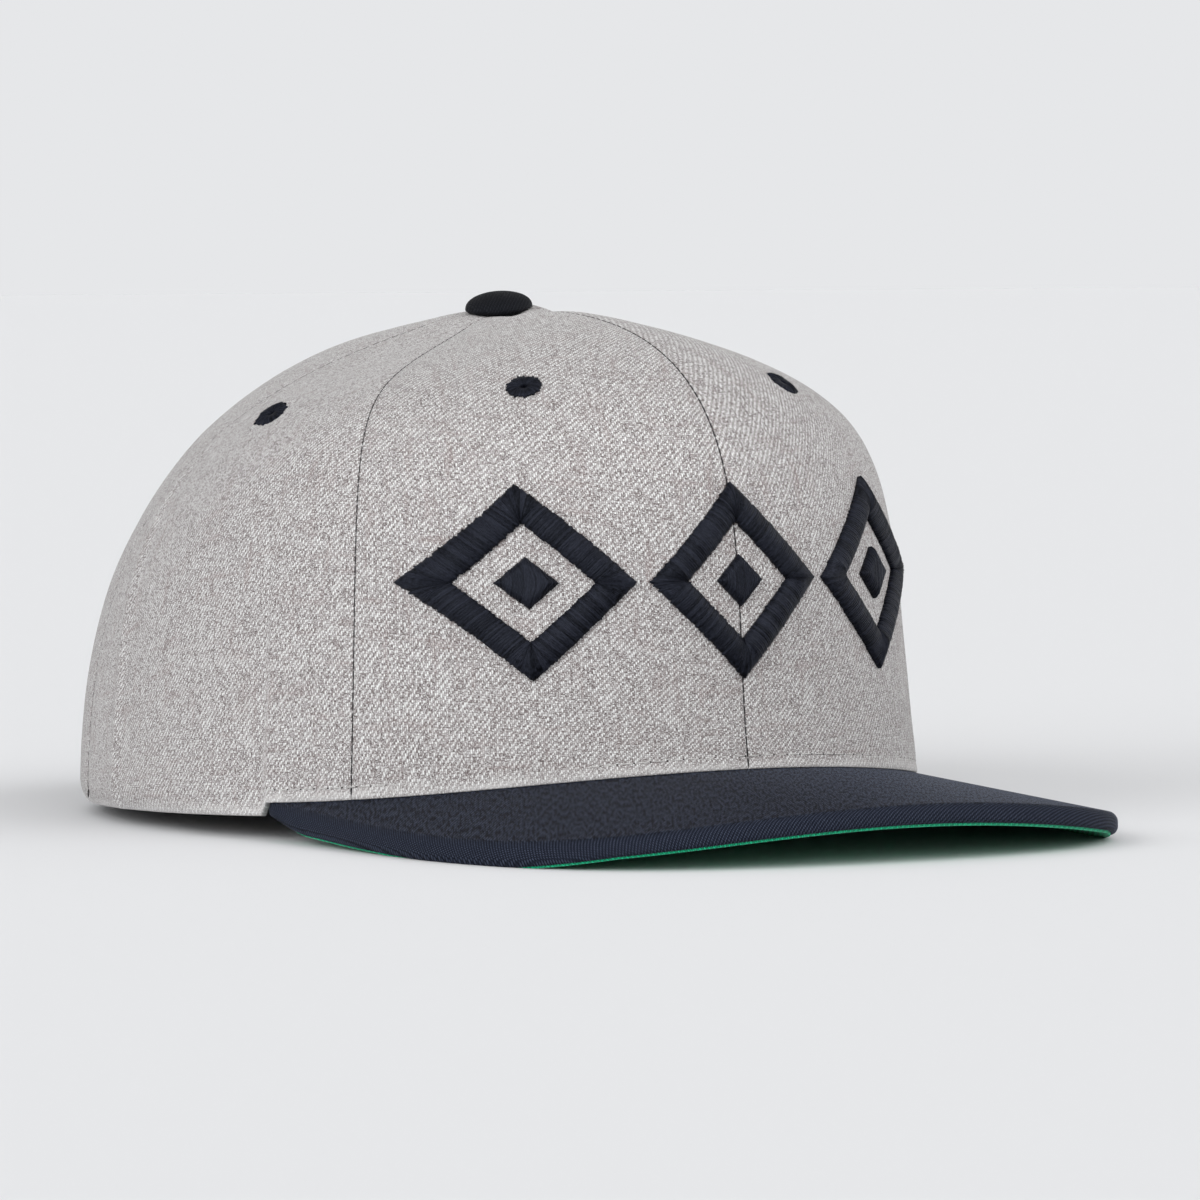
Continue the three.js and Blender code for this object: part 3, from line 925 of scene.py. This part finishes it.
def build_dot(name, place, seed):
    threads = round(2 * MOTIF_DOT / THREAD_PITCH)
    wave, longer = satin(threads, seed)
    wave, longer = np.append(wave, 0), np.append(longer, 0)
    x = np.linspace(-1, 1, len(wave))
    half = np.maximum(1 - np.abs(x), 0.02) + 0.012 * longer * (np.abs(x) < 0.98)
    across = np.linspace(-1, 1, 15)
    side = np.broadcast_to(x[:, None] * MOTIF_DOT, (len(x), len(across)))
    up = half[:, None] * across[None, :] * MOTIF_DOT
    inset = np.minimum(1, (half[:, None] * (1 - np.abs(across))[None, :]) / 0.4)
    bulge = np.sin(math.pi / 2 * np.clip(0.12 + inset, 0, 1)) ** 0.7
    out = DOT_HEIGHT * MOTIF_THICK * bulge + THREAD_PROUD * wave[:, None]
    return satin_bar(name, place, np.stack([side, up], -1), out)


motif = {}
for place_name, place in MOTIF_PLACES.items():
    motif["diamond", place_name] = build_diamond(f"diamond_stitches_{place_name}", place, 20 + place)
    motif["dot", place_name] = build_dot(f"dot_stitches_{place_name}", place, 30 + place)
print("motif:", {piece.name: triangles(piece) for piece in motif.values()})

# %% [markdown]
# ## Seam and edge stitches
# The seams are sewn from inside, so of their thread only short dark dashes show in the groove. Above the
# bill a row of stitches in the cloth's own colour holds the turned-in edge, with a needle hole between each
# two. One stitch is modelled and copied along each line.


# %% One stitch, and runs of it
# Length, radius, depth in the cloth, and pitch
STITCHES = {
    "seam": (0.0019, 0.00016, 0.00034, 0.0021),
    "edge": (0.0028, 0.00015, 0.00018, 0.0034),
    # A needle hole is a small dark bead: painted shade where the hole is
    "hole": (0.0005, 0.0002, 0.00022, 0.0034),
}


def stitch_model(length, radius):
    clear_selection()
    bpy.ops.mesh.primitive_uv_sphere_add(segments=6, ring_count=6, radius=1)
    model = bpy.context.object
    places = vertex_places(model)
    places = np.stack([places[:, 2] * length / 2, places[:, 0] * radius, places[:, 1] * radius], -1)
    move_vertices(model, places)
    return model


def along_line(places, walked, values):
    """Values, such as points, at places along a line that has been walked."""
    return np.stack([np.interp(places, walked, values[:, axis]) for axis in range(3)], -1)


def stitch_run(name, kind, line, outward):
    """Stitches along a line of points on the cloth, one for each pitch, as one piece."""
    length, radius, depth, pitch = STITCHES[kind]
    model = stitch_model(length, radius)
    line = line - outward * depth
    walked = lengths_along(line, 0)
    middles = np.arange(pitch / 2, walked[-1], pitch)
    centres = along_line(middles, walked, line)
    heads = along_line(middles + 1e-4, walked, line)
    made = []
    for centre, head, normal in zip(centres, heads, along_line(middles, walked, outward)):
        stitch = copy_of(model)
        ahead = Vector(head - centre).normalized()
        out = Vector(normal).normalized()
        turned = Matrix((ahead, out.cross(ahead), out)).transposed().to_4x4()
        stitch.data.transform(Matrix.Translation(centre) @ turned)
        made.append(stitch)
    bpy.data.objects.remove(model)
    pick(made[0])
    for stitch in made:
        stitch.select_set(True)
    bpy.ops.object.join()
    run = bpy.context.object
    run.name = name
    run.data.name = name
    smooth(run)
    print(f"{name}: {len(made)} stitches, {triangles(run)} triangles")
    return run


# %% Stitches in the seams
SEAM_FROM = 0.004
SEAM_TO = 0.93


def seam_stitches(seam, side_name):
    share = np.linspace(SEAM_FROM, SEAM_TO, 300)
    angle = SIDES[side_name] * seam_angle(seam, share)
    name = f"{seam}_seam_stitches" if seam in ("front", "back") else f"{seam}_seam_stitches_{side_name}"
    return stitch_run(name, "seam", crown_point(angle, share), crown_normal(angle, share))


seam_runs = [seam_stitches("front", "right"), seam_stitches("back", "right")]
seam_runs += [seam_stitches(seam, side_name) for seam in ("side", "rear") for side_name in SIDES]

# %% Stitches above the bill
def topstitches():
    """The row of edge stitches, and the needle holes half a stitch further along."""
    last = TOPSTITCH_END - 0.02
    angle = np.linspace(-last, last, 500)
    hem = lower_edge(np.clip(angle, -DROP_START, DROP_START)) + JOINT_GAP
    share = wall_share(angle, hem + TOPSTITCH_RISE)
    line, out = crown_point(angle, share), crown_normal(angle, share)
    thread = stitch_run("edge_stitches", "edge", line, out)
    half_on = np.searchsorted(lengths_along(line, 0), STITCHES["edge"][-1] / 2)
    return thread, stitch_run("edge_stitch_holes", "hole", line[half_on:], out[half_on:])


edge_thread, edge_holes = topstitches()

# %% [markdown]
# ## Cloth and thread materials
# The crown is a heather twill: pale, grey and brownish fibres are mixed before they are spun, so every
# float of yarn has a shade of its own. A shader group lays out the twill from the UV map. Two floats of the
# upright yarn alternate with one of the crosswise yarn, one step higher at each yarn, which makes the
# slanting lines.


# %% Helpers for shader nodes
def set_inputs(tree, node, values):
    """Links each input to another node's output, or gives it a plain value."""
    for socket, value in values.items():
        if isinstance(value, bpy.types.NodeSocket):
            tree.links.new(value, node.inputs[socket])
        else:
            node.inputs[socket].default_value = value


def add(tree, kind, inputs=None, **settings):
    node = tree.nodes.new("ShaderNode" + kind)
    for key, value in settings.items():
        setattr(node, key, value)
    set_inputs(tree, node, inputs or {})
    return node


def maths(tree, operation, *values):
    return add(tree, "Math", dict(enumerate(values)), operation=operation).outputs[0]


def times(tree, first, second):
    return maths(tree, "MULTIPLY", first, second)


def arch(tree, share):
    """Rises from 0 to 1 and falls back to 0 while the share goes from 0 to 1."""
    return maths(tree, "SINE", times(tree, share, math.pi))


def either(tree, second_holds, first, second):
    """The first value, or the second one where the switch is 1."""
    return maths(tree, "MULTIPLY_ADD", maths(tree, "SUBTRACT", second, first), second_holds, first)


def vector(tree, x, y, z=0.0):
    return add(tree, "CombineXYZ", {0: x, 1: y, 2: z}).outputs[0]


def parts(tree, whole):
    """The x, y and z of a vector."""
    return add(tree, "SeparateXYZ", {0: whole}).outputs


def ranged(tree, value, low, high, new_low=0.0, new_high=1.0):
    sockets = {0: value, 1: low, 2: high, 3: new_low, 4: new_high}
    return add(tree, "MapRange", sockets, clamp=True).outputs[0]


def mixed(tree, share, *colours):
    """A mix of two colours, each from a node or given as red, green and blue."""
    first, second = [c if isinstance(c, bpy.types.NodeSocket) else (*c, 1) for c in colours]
    inputs = {0: share, 6: first, 7: second}
    return add(tree, "Mix", inputs, data_type="RGBA", clamp_factor=True).outputs[2]


def soft_noise(tree, place, scale=1.0, detail=1.0, roughness=0.5):
    inputs = {"Vector": place, "Scale": scale, "Detail": detail, "Roughness": roughness}
    return add(tree, "TexNoise", inputs).outputs[0]


def own_shade(tree, key):
    """A chance value for each key, such as the number of a yarn."""
    return add(tree, "TexWhiteNoise", {"Vector": key}, noise_dimensions="3D").outputs[0]


def new_group(name, inputs, outputs):
    group = bpy.data.node_groups.new(name, "ShaderNodeTree")
    for label, value in inputs.items():
        kind = "NodeSocketFloat" if isinstance(value, float) else "NodeSocketVector"
        socket = group.interface.new_socket(name=label, in_out="INPUT", socket_type=kind)
        if isinstance(value, float):
            socket.default_value = value
    for label in outputs:
        group.interface.new_socket(name=label, in_out="OUTPUT", socket_type="NodeSocketFloat")
    return group, group.nodes.new("NodeGroupInput").outputs, group.nodes.new("NodeGroupOutput").inputs


# %% Twill group
# A float passes over two yarns of every three
REPEAT = 3.0
# How fine the yarns' sway is, and its reach in yarns across and in rows along
SWAY_SCALE = 900.0
SWAY_ACROSS = 4.0
SWAY_ALONG = 2.5
# How fast a yarn's thickness changes along it, upright and crosswise, and a number that sets yarns apart
SLUB_UPRIGHT = 0.055
SLUB_CROSSWISE = 0.035
SLUB_APART = 3.7


def twill_group():
    sizes = {"Cloth": None, "Warp pitch": 0.0004, "Weft pitch": 0.00066, "Waver": 0.12}
    tree, given, put = new_group("Twill", sizes, ("Height", "Crosswise", "Fleck", "Float", "Slub"))
    place = parts(tree, given["Cloth"])
    sway = maths(tree, "SUBTRACT", soft_noise(tree, given["Cloth"], SWAY_SCALE), 0.5)
    sway = times(tree, sway, given["Waver"])
    x = maths(tree, "DIVIDE", place[0], given["Warp pitch"])
    x = maths(tree, "MULTIPLY_ADD", sway, SWAY_ACROSS, x)
    y = maths(tree, "DIVIDE", place[1], given["Weft pitch"])
    y = maths(tree, "MULTIPLY_ADD", sway, SWAY_ALONG, y)
    yarn, row = maths(tree, "FLOOR", x), maths(tree, "FLOOR", y)
    in_yarn, in_row = maths(tree, "FRACT", x), maths(tree, "FRACT", y)
    step = maths(tree, "ADD", maths(tree, "SUBTRACT", row, yarn), 1.0)
    turn = maths(tree, "FLOOR", maths(tree, "DIVIDE", step, REPEAT))
    state = maths(tree, "SUBTRACT", step, times(tree, turn, REPEAT))
    crosswise = maths(tree, "GREATER_THAN", state, 1.5)
    along = maths(tree, "DIVIDE", maths(tree, "ADD", state, in_row), 2.0)
    arched = arch(tree, maths(tree, "MINIMUM", along, 1.0))
    round_yarn, round_row = arch(tree, in_yarn), arch(tree, in_row)
    upright = times(tree, maths(tree, "POWER", round_yarn, 0.6), maths(tree, "POWER", arched, 0.45))
    flat = times(tree, times(tree, round_row, round_yarn), 0.45)
    up_slub = vector(tree, times(tree, yarn, SLUB_APART), times(tree, y, SLUB_UPRIGHT))
    cross_slub = vector(tree, times(tree, x, SLUB_CROSSWISE), times(tree, row, SLUB_APART), 9.0)
    slubs = [soft_noise(tree, slub, detail=2.0) for slub in (up_slub, cross_slub)]
    results = {
        "Height": either(tree, crosswise, upright, flat),
        "Crosswise": crosswise,
        "Fleck": own_shade(tree, vector(tree, yarn, row, 7.0)),
        "Float": own_shade(tree, vector(tree, yarn, turn, crosswise)),
        "Slub": either(tree, crosswise, *slubs),
    }
    for label, value in results.items():
        tree.links.new(value, put[label])
    return tree


twill = twill_group()


# %% A material's start and end
def new_material(name):
    material = bpy.data.materials.new(name)
    material.use_nodes = True
    tree = material.node_tree
    surface = tree.nodes["Principled BSDF"]
    return material, tree, surface


def flat_cloth(tree):
    """The place on the flat cloth, whole and as its x and y."""
    cloth = add(tree, "UVMap", uv_map="Cloth").outputs[0]
    x, y, _ = parts(tree, cloth)
    return cloth, x, y


def weave(tree, cloth, warp, weft, waver):
    """The twill group's outputs, for yarns at two pitches that waver by a share of a yarn."""
    inputs = {"Cloth": cloth, "Warp pitch": warp, "Weft pitch": weft, "Waver": waver}
    return add(tree, "Group", inputs, node_tree=twill).outputs


def set_surface(tree, surface, **values):
    set_inputs(tree, surface, {label.replace("_", " "): value for label, value in values.items()})


def raise_bumps(tree, surface, height, distance, strength):
    bump = add(tree, "Bump", {"Height": height, "Distance": distance, "Strength": strength})
    tree.links.new(bump.outputs[0], surface.inputs["Normal"])


# %% Heather twill of the crown
def weighted(tree, *terms):
    """Sum of outputs, each times its weight."""
    total = 0.0
    for value, weight in terms:
        total = maths(tree, "MULTIPLY_ADD", value, weight, total)
    return total


def colour_ramp(tree, share, stops):
    ramp = add(tree, "ValToRGB", {0: share})
    while len(ramp.color_ramp.elements) < len(stops):
        ramp.color_ramp.elements.new(0.5)
    for element, (place, colour) in zip(ramp.color_ramp.elements, stops):
        element.position = place
        element.color = (*colour, 1)
    return ramp.outputs[0]


def long_noise(tree, across, along, depth=0.0):
    """Soft streaks from two already stretched directions."""
    return soft_noise(tree, vector(tree, across, along, depth), detail=3.0, roughness=0.6)


# Shade, and the fibres' colour at it
HEATHER_STOPS = (
    (0.12, (0.074, 0.059, 0.059)),
    (0.36, (0.25, 0.224, 0.222)),
    (0.54, (0.485, 0.482, 0.479)),
    (0.95, (0.69, 0.698, 0.695)),
)
HEATHER_STREAK = (0.255, 0.19, 0.18)
# Painted shade: the brownish colour of the low gaps between the yarns, where shade falls
HEATHER_GAP_SHADE = (0.155, 0.134, 0.133)
HEATHER_RUBBED = (0.56, 0.555, 0.55)
# Specks and streaks to a metre
SPECK_SCALE = 3600.0
STREAK_ACROSS = 420.0
STREAK_ALONG = 70.0
# Height over which the lower edge is rubbed pale
WORN = 0.003


def heather_material():
    """Pale yarns with darker ones among them, and painted brownish shade in the low gaps between them."""
    material, tree, surface = new_material("heather twill")
    cloth, x, y = flat_cloth(tree)
    yarns = weave(tree, cloth, 0.00041, 0.000445, 0.1)
    speck = ranged(tree, soft_noise(tree, cloth, SPECK_SCALE), 0.36, 0.64, -0.37, 0.33)
    terms = ((yarns["Fleck"], 0.56), (speck, 1.0), (yarns["Float"], 0.12), (yarns["Slub"], 0.5))
    shade = weighted(tree, *terms)
    fibre = colour_ramp(tree, shade, HEATHER_STOPS)
    upright = long_noise(tree, times(tree, x, STREAK_ACROSS), times(tree, y, STREAK_ALONG))
    level = long_noise(tree, times(tree, x, STREAK_ALONG), times(tree, y, STREAK_ACROSS), 5.0)
    streak = ranged(tree, maths(tree, "MAXIMUM", upright, level), 0.54, 0.8)
    fibre = mixed(tree, times(tree, streak, 0.5), fibre, HEATHER_STREAK)
    # Crosswise floats are darker, partly as a darker weft yarn and partly as painted shade where they lie
    # recessed; low places take the painted gap shade
    crossing = maths(tree, "MULTIPLY_ADD", yarns["Crosswise"], -0.16, 1.0)
    proud = times(tree, ranged(tree, yarns["Height"], -0.2, 0.8), crossing)
    colour = mixed(tree, proud, HEATHER_GAP_SHADE, fibre)
    worn = times(tree, ranged(tree, y, WORN, 0.0), ranged(tree, level, 0.35, 0.65, 0.25, 0.75))
    colour = mixed(tree, worn, colour, HEATHER_RUBBED)
    set_surface(tree, surface, Base_Color=colour, Roughness=0.9, Specular_IOR_Level=0.2)
    set_surface(tree, surface, Sheen_Weight=0.2, Sheen_Roughness=0.5)
    raise_bumps(tree, surface, yarns["Height"], 0.0002, 0.35)
    return material


# %% Dark twill of the bill and the button
# The raised fibres lie slanting, this many to a metre across and along them
NAP_TURN = math.radians(30)
NAP_ACROSS = 2100
NAP_ALONG = 280
# Painted sheen: a paler bluish colour mixed in where the cloth is seen along its surface
PAINTED_SHEEN_TONE = (0.09, 0.106, 0.152)
# The dark finishes throw back a bluish light
BLUISH_GLOSS = (0.72, 0.8, 1.0, 1)


def dark_twill_material(name, pitches, tones, gloss, painted_sheen):
    """Tones are the darkest and palest colour, gloss the level and roughness of the reflection, and
    painted_sheen the
    share of a painted sheen: a paler bluish colour mixed in where the cloth is seen along its surface."""
    material, tree, surface = new_material(name)
    cloth, x, y = flat_cloth(tree)
    yarns = weave(tree, cloth, *pitches, 0.12)
    across = weighted(tree, (x, NAP_ACROSS * math.cos(NAP_TURN)), (y, -NAP_ACROSS * math.sin(NAP_TURN)))
    along = weighted(tree, (x, NAP_ALONG * math.sin(NAP_TURN)), (y, NAP_ALONG * math.cos(NAP_TURN)))
    upward = parts(tree, add(tree, "TexCoord").outputs["Normal"])[2]
    nap = maths(tree, "SUBTRACT", ranged(tree, long_noise(tree, across, along), 0.42, 0.58), 0.5)
    nap = maths(tree, "MULTIPLY_ADD", nap, ranged(tree, upward, 0.75, 0.97), 0.5)
    shade = weighted(tree, (yarns["Fleck"], 0.15), (yarns["Float"], 0.1), (nap, 1.0))
    # The colour darkens where the yarns lie low: painted shade between the yarns
    colour = mixed(tree, times(tree, shade, yarns["Height"]), *tones)
    # Painted sheen: the paler bluish colour mixed in towards the outline, where the cloth is seen edge-on
    facing = add(tree, "LayerWeight").outputs["Facing"]
    sheen_share = weighted(tree, (nap, 1.2), (1.0, 0.4))
    sheen_share = times(tree, ranged(tree, facing, 0.85, 1.0, 0.0, painted_sheen), sheen_share)
    colour = mixed(tree, sheen_share, colour, PAINTED_SHEEN_TONE)
    set_surface(tree, surface, Base_Color=colour, Roughness=gloss[1])
    set_surface(tree, surface, Specular_IOR_Level=gloss[0], Specular_Tint=BLUISH_GLOSS)
    raise_bumps(tree, surface, weighted(tree, (yarns["Height"], 0.4), (nap, 0.3)), 0.0003, 1.0)
    return material


# %% Green twill under the bill
def green_material():
    material, tree, surface = new_material("green twill")
    cloth, _, _ = flat_cloth(tree)
    yarns = weave(tree, cloth, 0.0004, 0.0006, 0.1)
    # Mostly by the yarns' height, so the colour darkens in the low places: painted shade between the yarns,
    # with a chance shade for each yarn
    shade = weighted(tree, (yarns["Fleck"], 0.2), (yarns["Height"], 0.8))
    colour = mixed(tree, shade, (0.0, 0.16, 0.08), (0.004, 0.6, 0.29))
    set_surface(tree, surface, Base_Color=colour, Roughness=0.7, Specular_IOR_Level=0.3)
    set_surface(tree, surface, Sheen_Weight=0.15, Sheen_Roughness=0.4)
    raise_bumps(tree, surface, yarns["Height"], 0.00025, 0.8)
    return material


# %% Threads
# Strands to a metre across a thread and along it
STRANDS_ACROSS = 7000.0
STRANDS_ALONG = 1100.0


def thread_material(name, low, high, roughness):
    """Embroidery thread: each thread has a shade of its own, and fine strands twist along it."""
    material, tree, surface = new_material(name)
    _, x, y = flat_cloth(tree)
    thread = maths(tree, "FLOOR", maths(tree, "DIVIDE", x, THREAD_PITCH))
    own = own_shade(tree, vector(tree, thread, 0.0))
    strands = long_noise(tree, times(tree, x, STRANDS_ACROSS), times(tree, y, STRANDS_ALONG))
    shade = ranged(tree, weighted(tree, (own, 0.4), (ranged(tree, strands, 0.3, 0.7), 0.6)), 0.2, 0.8)
    set_surface(tree, surface, Base_Color=mixed(tree, shade, low, high), Roughness=roughness)
    set_surface(tree, surface, Specular_IOR_Level=0.13, Specular_Tint=BLUISH_GLOSS)
    raise_bumps(tree, surface, strands, 0.00012, 0.9)
    return material


def plain_thread_material(name, colour):
    """Thread of single stitches, too small for a UV map: its grain reads the object's own coordinates."""
    material, tree, surface = new_material(name)
    grain = soft_noise(tree, add(tree, "TexCoord").outputs["Object"], 5000.0)
    colour = mixed(tree, grain, [0.6 * part for part in colour], colour)
    set_surface(tree, surface, Base_Color=colour, Roughness=0.8, Specular_IOR_Level=0.3)
    return material


# %% Ribbed cloth of the sweatband
RIB_PITCH = 0.0011


def band_material():
    material, tree, surface = new_material("ribbed band")
    _, x, _ = flat_cloth(tree)
    rib = maths(tree, "SINE", times(tree, x, 2 * math.pi / RIB_PITCH))
    rib = maths(tree, "MULTIPLY_ADD", rib, 0.5, 0.5)
    # The troughs between the ribs are darker and the crests paler: painted shade
    colour = mixed(tree, rib, (0.012, 0.012, 0.014), (0.035, 0.035, 0.038))
    set_surface(tree, surface, Base_Color=colour, Roughness=0.8, Specular_IOR_Level=0.3)
    raise_bumps(tree, surface, rib, 0.0002, 0.6)
    return material


# %% Give the pieces their materials
heather = heather_material()
# The last number of each dark twill is the share of its painted sheen
bill_tones = ((0.0, 0.0, 0.002), (0.064, 0.077, 0.116))
dark_twill = dark_twill_material("dark twill", (0.00034, 0.0003), bill_tones, (0.03, 0.5), 0.62)
button_tones = ((0.002, 0.002, 0.0024), (0.018, 0.019, 0.023))
button_twill = dark_twill_material("button twill", (0.00028, 0.0004), button_tones, (0.1, 0.6), 0.2)
satin_thread = thread_material("satin thread", (0.0, 0.0, 0.0004), (0.015, 0.0165, 0.0245), 0.45)
dark_thread = plain_thread_material("dark seam thread", (0.025, 0.023, 0.025))
pale_thread = plain_thread_material("pale edge thread", (0.5, 0.49, 0.48))
# Painted shade for the needle holes
needle_hole_shade = plain_thread_material("needle hole", (0.05, 0.045, 0.045))
finishes = {
    heather: [piece for piece, _, _ in panels.values()],
    dark_twill: [bill_cover],
    green_material(): [under_cover],
    button_twill: [button],
    satin_thread: [*eyelets.values(), *motif.values()],
    dark_thread: seam_runs,
    pale_thread: [edge_thread],
    needle_hole_shade: [edge_holes],
    band_material(): [band],
}
for material, pieces in finishes.items():
    for piece in pieces:
        piece.data.materials.clear()
        piece.data.materials.append(material)

# %% [markdown]
# ## Camera, light and floor
# The picture is taken from the wearer's right front, a little above the floor and with a long lens, so the
# bill looks nearly flat. A large floor is lit by a soft dome and broad lamps that are even all over it, and
# the world shows the camera the floor's own brightness, so no horizon shows.

# %% Camera
AZIMUTH = math.radians(-30.4)
ELEVATION = math.radians(2.54)
ROLL = math.radians(-0.4)
DISTANCE = 1.537
PIXELS_PER_METRE = 4727
FRAME_PIXELS = 1200
SHIFT_RIGHT = 0.0225
SHIFT_UP = -0.011
AIM_HEIGHT = 0.0561


def towards(azimuth, elevation):
    """Direction from the cap to what stands at an azimuth and elevation."""
    level = math.cos(elevation)
    return Vector((math.sin(azimuth) * level, -math.cos(azimuth) * level, math.sin(elevation)))


def add_camera():
    back = towards(AZIMUTH, ELEVATION)
    level = Vector((math.cos(AZIMUTH), math.sin(AZIMUTH), 0))
    upright = back.cross(level)
    right = level * math.cos(ROLL) + upright * math.sin(ROLL)
    up = upright * math.cos(ROLL) - level * math.sin(ROLL)
    target = Vector((0, CENTRE_Y, AIM_HEIGHT)) + right * SHIFT_RIGHT + up * SHIFT_UP
    data = bpy.data.cameras.new("camera")
    data.sensor_width = 36
    data.lens = data.sensor_width * PIXELS_PER_METRE * DISTANCE / FRAME_PIXELS
    data.clip_start, data.clip_end = 0.05, 100
    camera = bpy.data.objects.new("camera", data)
    turned = Matrix((right, up, back)).transposed().to_4x4()
    camera.matrix_world = Matrix.Translation(target + back * DISTANCE) @ turned
    bpy.context.collection.objects.link(camera)
    bpy.context.scene.camera = camera
    print(f"camera {camera.location.z * 1000:.0f} mm above the floor, lens {data.lens:.0f} mm")


add_camera()

# %% Light
DOME = 0.36
# The backdrop round the cap is brighter than the dome over it, up to this height on the unit sphere
BACKDROP = 0.85
BACKDROP_TOP = 0.4
FLOOR_TONE = (0.791, 0.799, 0.815)
# Each lamp's azimuth and elevation in degrees, strength, and breadth in degrees
LAMPS = {
    "camera side": (-30, 25, 1.2, 40),
    "low left": (-75, 20, 1.9, 40),
    "right": (30, 40, 1.25, 50),
    "low right": (75, 10, 0.7, 40),
    "back": (150, 45, 0.1, 60),
}


def add_lamps():
    """Adds the lamps and returns how much light they throw on a level floor."""
    level_light = 0
    for name, (azimuth, elevation, strength, breadth) in LAMPS.items():
        data = bpy.data.lights.new(name, "SUN")
        data.energy = strength
        data.angle = math.radians(breadth)
        lamp = bpy.data.objects.new(name, data)
        to_lamp = towards(math.radians(azimuth), math.radians(elevation))
        lamp.rotation_euler = to_lamp.to_track_quat("Z", "Y").to_euler()
        bpy.context.collection.objects.link(lamp)
        level_light += strength * to_lamp.z / math.pi
    return level_light


def dome_light():
    """How much light the dome and the backdrop throw on a level floor."""
    heights = (np.arange(1000) + 0.5) / 1000
    strengths = np.interp(heights, (0, BACKDROP_TOP), (BACKDROP, DOME))
    return float(np.mean(2 * heights * strengths))


def add_world():
    world = bpy.data.worlds.new("studio")
    world.use_nodes = True
    tree = world.node_tree
    tree.nodes.clear()
    height = parts(tree, add(tree, "TexCoord").outputs["Generated"])[2]
    strength = ranged(tree, height, 0.0, BACKDROP_TOP, BACKDROP, DOME)
    dome = add(tree, "Background", {0: (1, 1, 1, 1), 1: strength})
    seen = add(tree, "Background", {0: (*FLOOR_TONE, 1), 1: 1.0})
    ray = add(tree, "LightPath").outputs["Is Camera Ray"]
    both = add(tree, "MixShader", {0: ray, 1: dome.outputs[0], 2: seen.outputs[0]})
    add(tree, "OutputWorld", {0: both.outputs[0]})
    bpy.context.scene.world = world


def add_floor(floor_light):
    """The floor is as pale as makes it the tone of the backdrop in this light."""
    clear_selection()
    bpy.ops.mesh.primitive_circle_add(vertices=96, radius=60, fill_type="NGON")
    floor = bpy.context.object
    floor.name = "floor"
    material, tree, surface = new_material("studio floor")
    albedo = [tone / floor_light for tone in FLOOR_TONE]
    set_surface(tree, surface, Base_Color=(*albedo, 1), Roughness=1.0, Specular_IOR_Level=0.0)
    floor.data.materials.append(material)


floor_light = dome_light() + add_lamps()
add_world()
add_floor(floor_light)
bpy.context.scene.view_settings.view_transform = "Standard"
print(f"an open floor is lit to {floor_light:.3f}")

# %% [markdown]
# ## Take the place of the CAD parts
# Every piece rides on the frame's one body and hides the CAD node that it stands for.


# %% Place the pieces on the frame
def settle(piece, slot, *nodes):
    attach(piece, "root")
    if nodes:
        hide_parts(*nodes)


for (panel_name, side_name), (piece, flat, area) in panels.items():
    settle(piece, "crown_cloth", f"panel_{panel_name}_{side_name}")
    settle(eyelets[panel_name, side_name], "thread", f"eyelet_{panel_name}_{side_name}")
for (kind, place_name), piece in motif.items():
    settle(piece, "thread", f"motif_{kind}_{place_name}")
for piece in [*seam_runs, edge_holes]:
    settle(piece, "thread")
settle(edge_thread, "crown_cloth")
settle(bill_cover, "bill_cloth", "bill_top")
settle(under_cover, "under_cloth", "bill_under")
settle(band, "band_cloth", "sweatband")
settle(button, "button_cloth", "button")
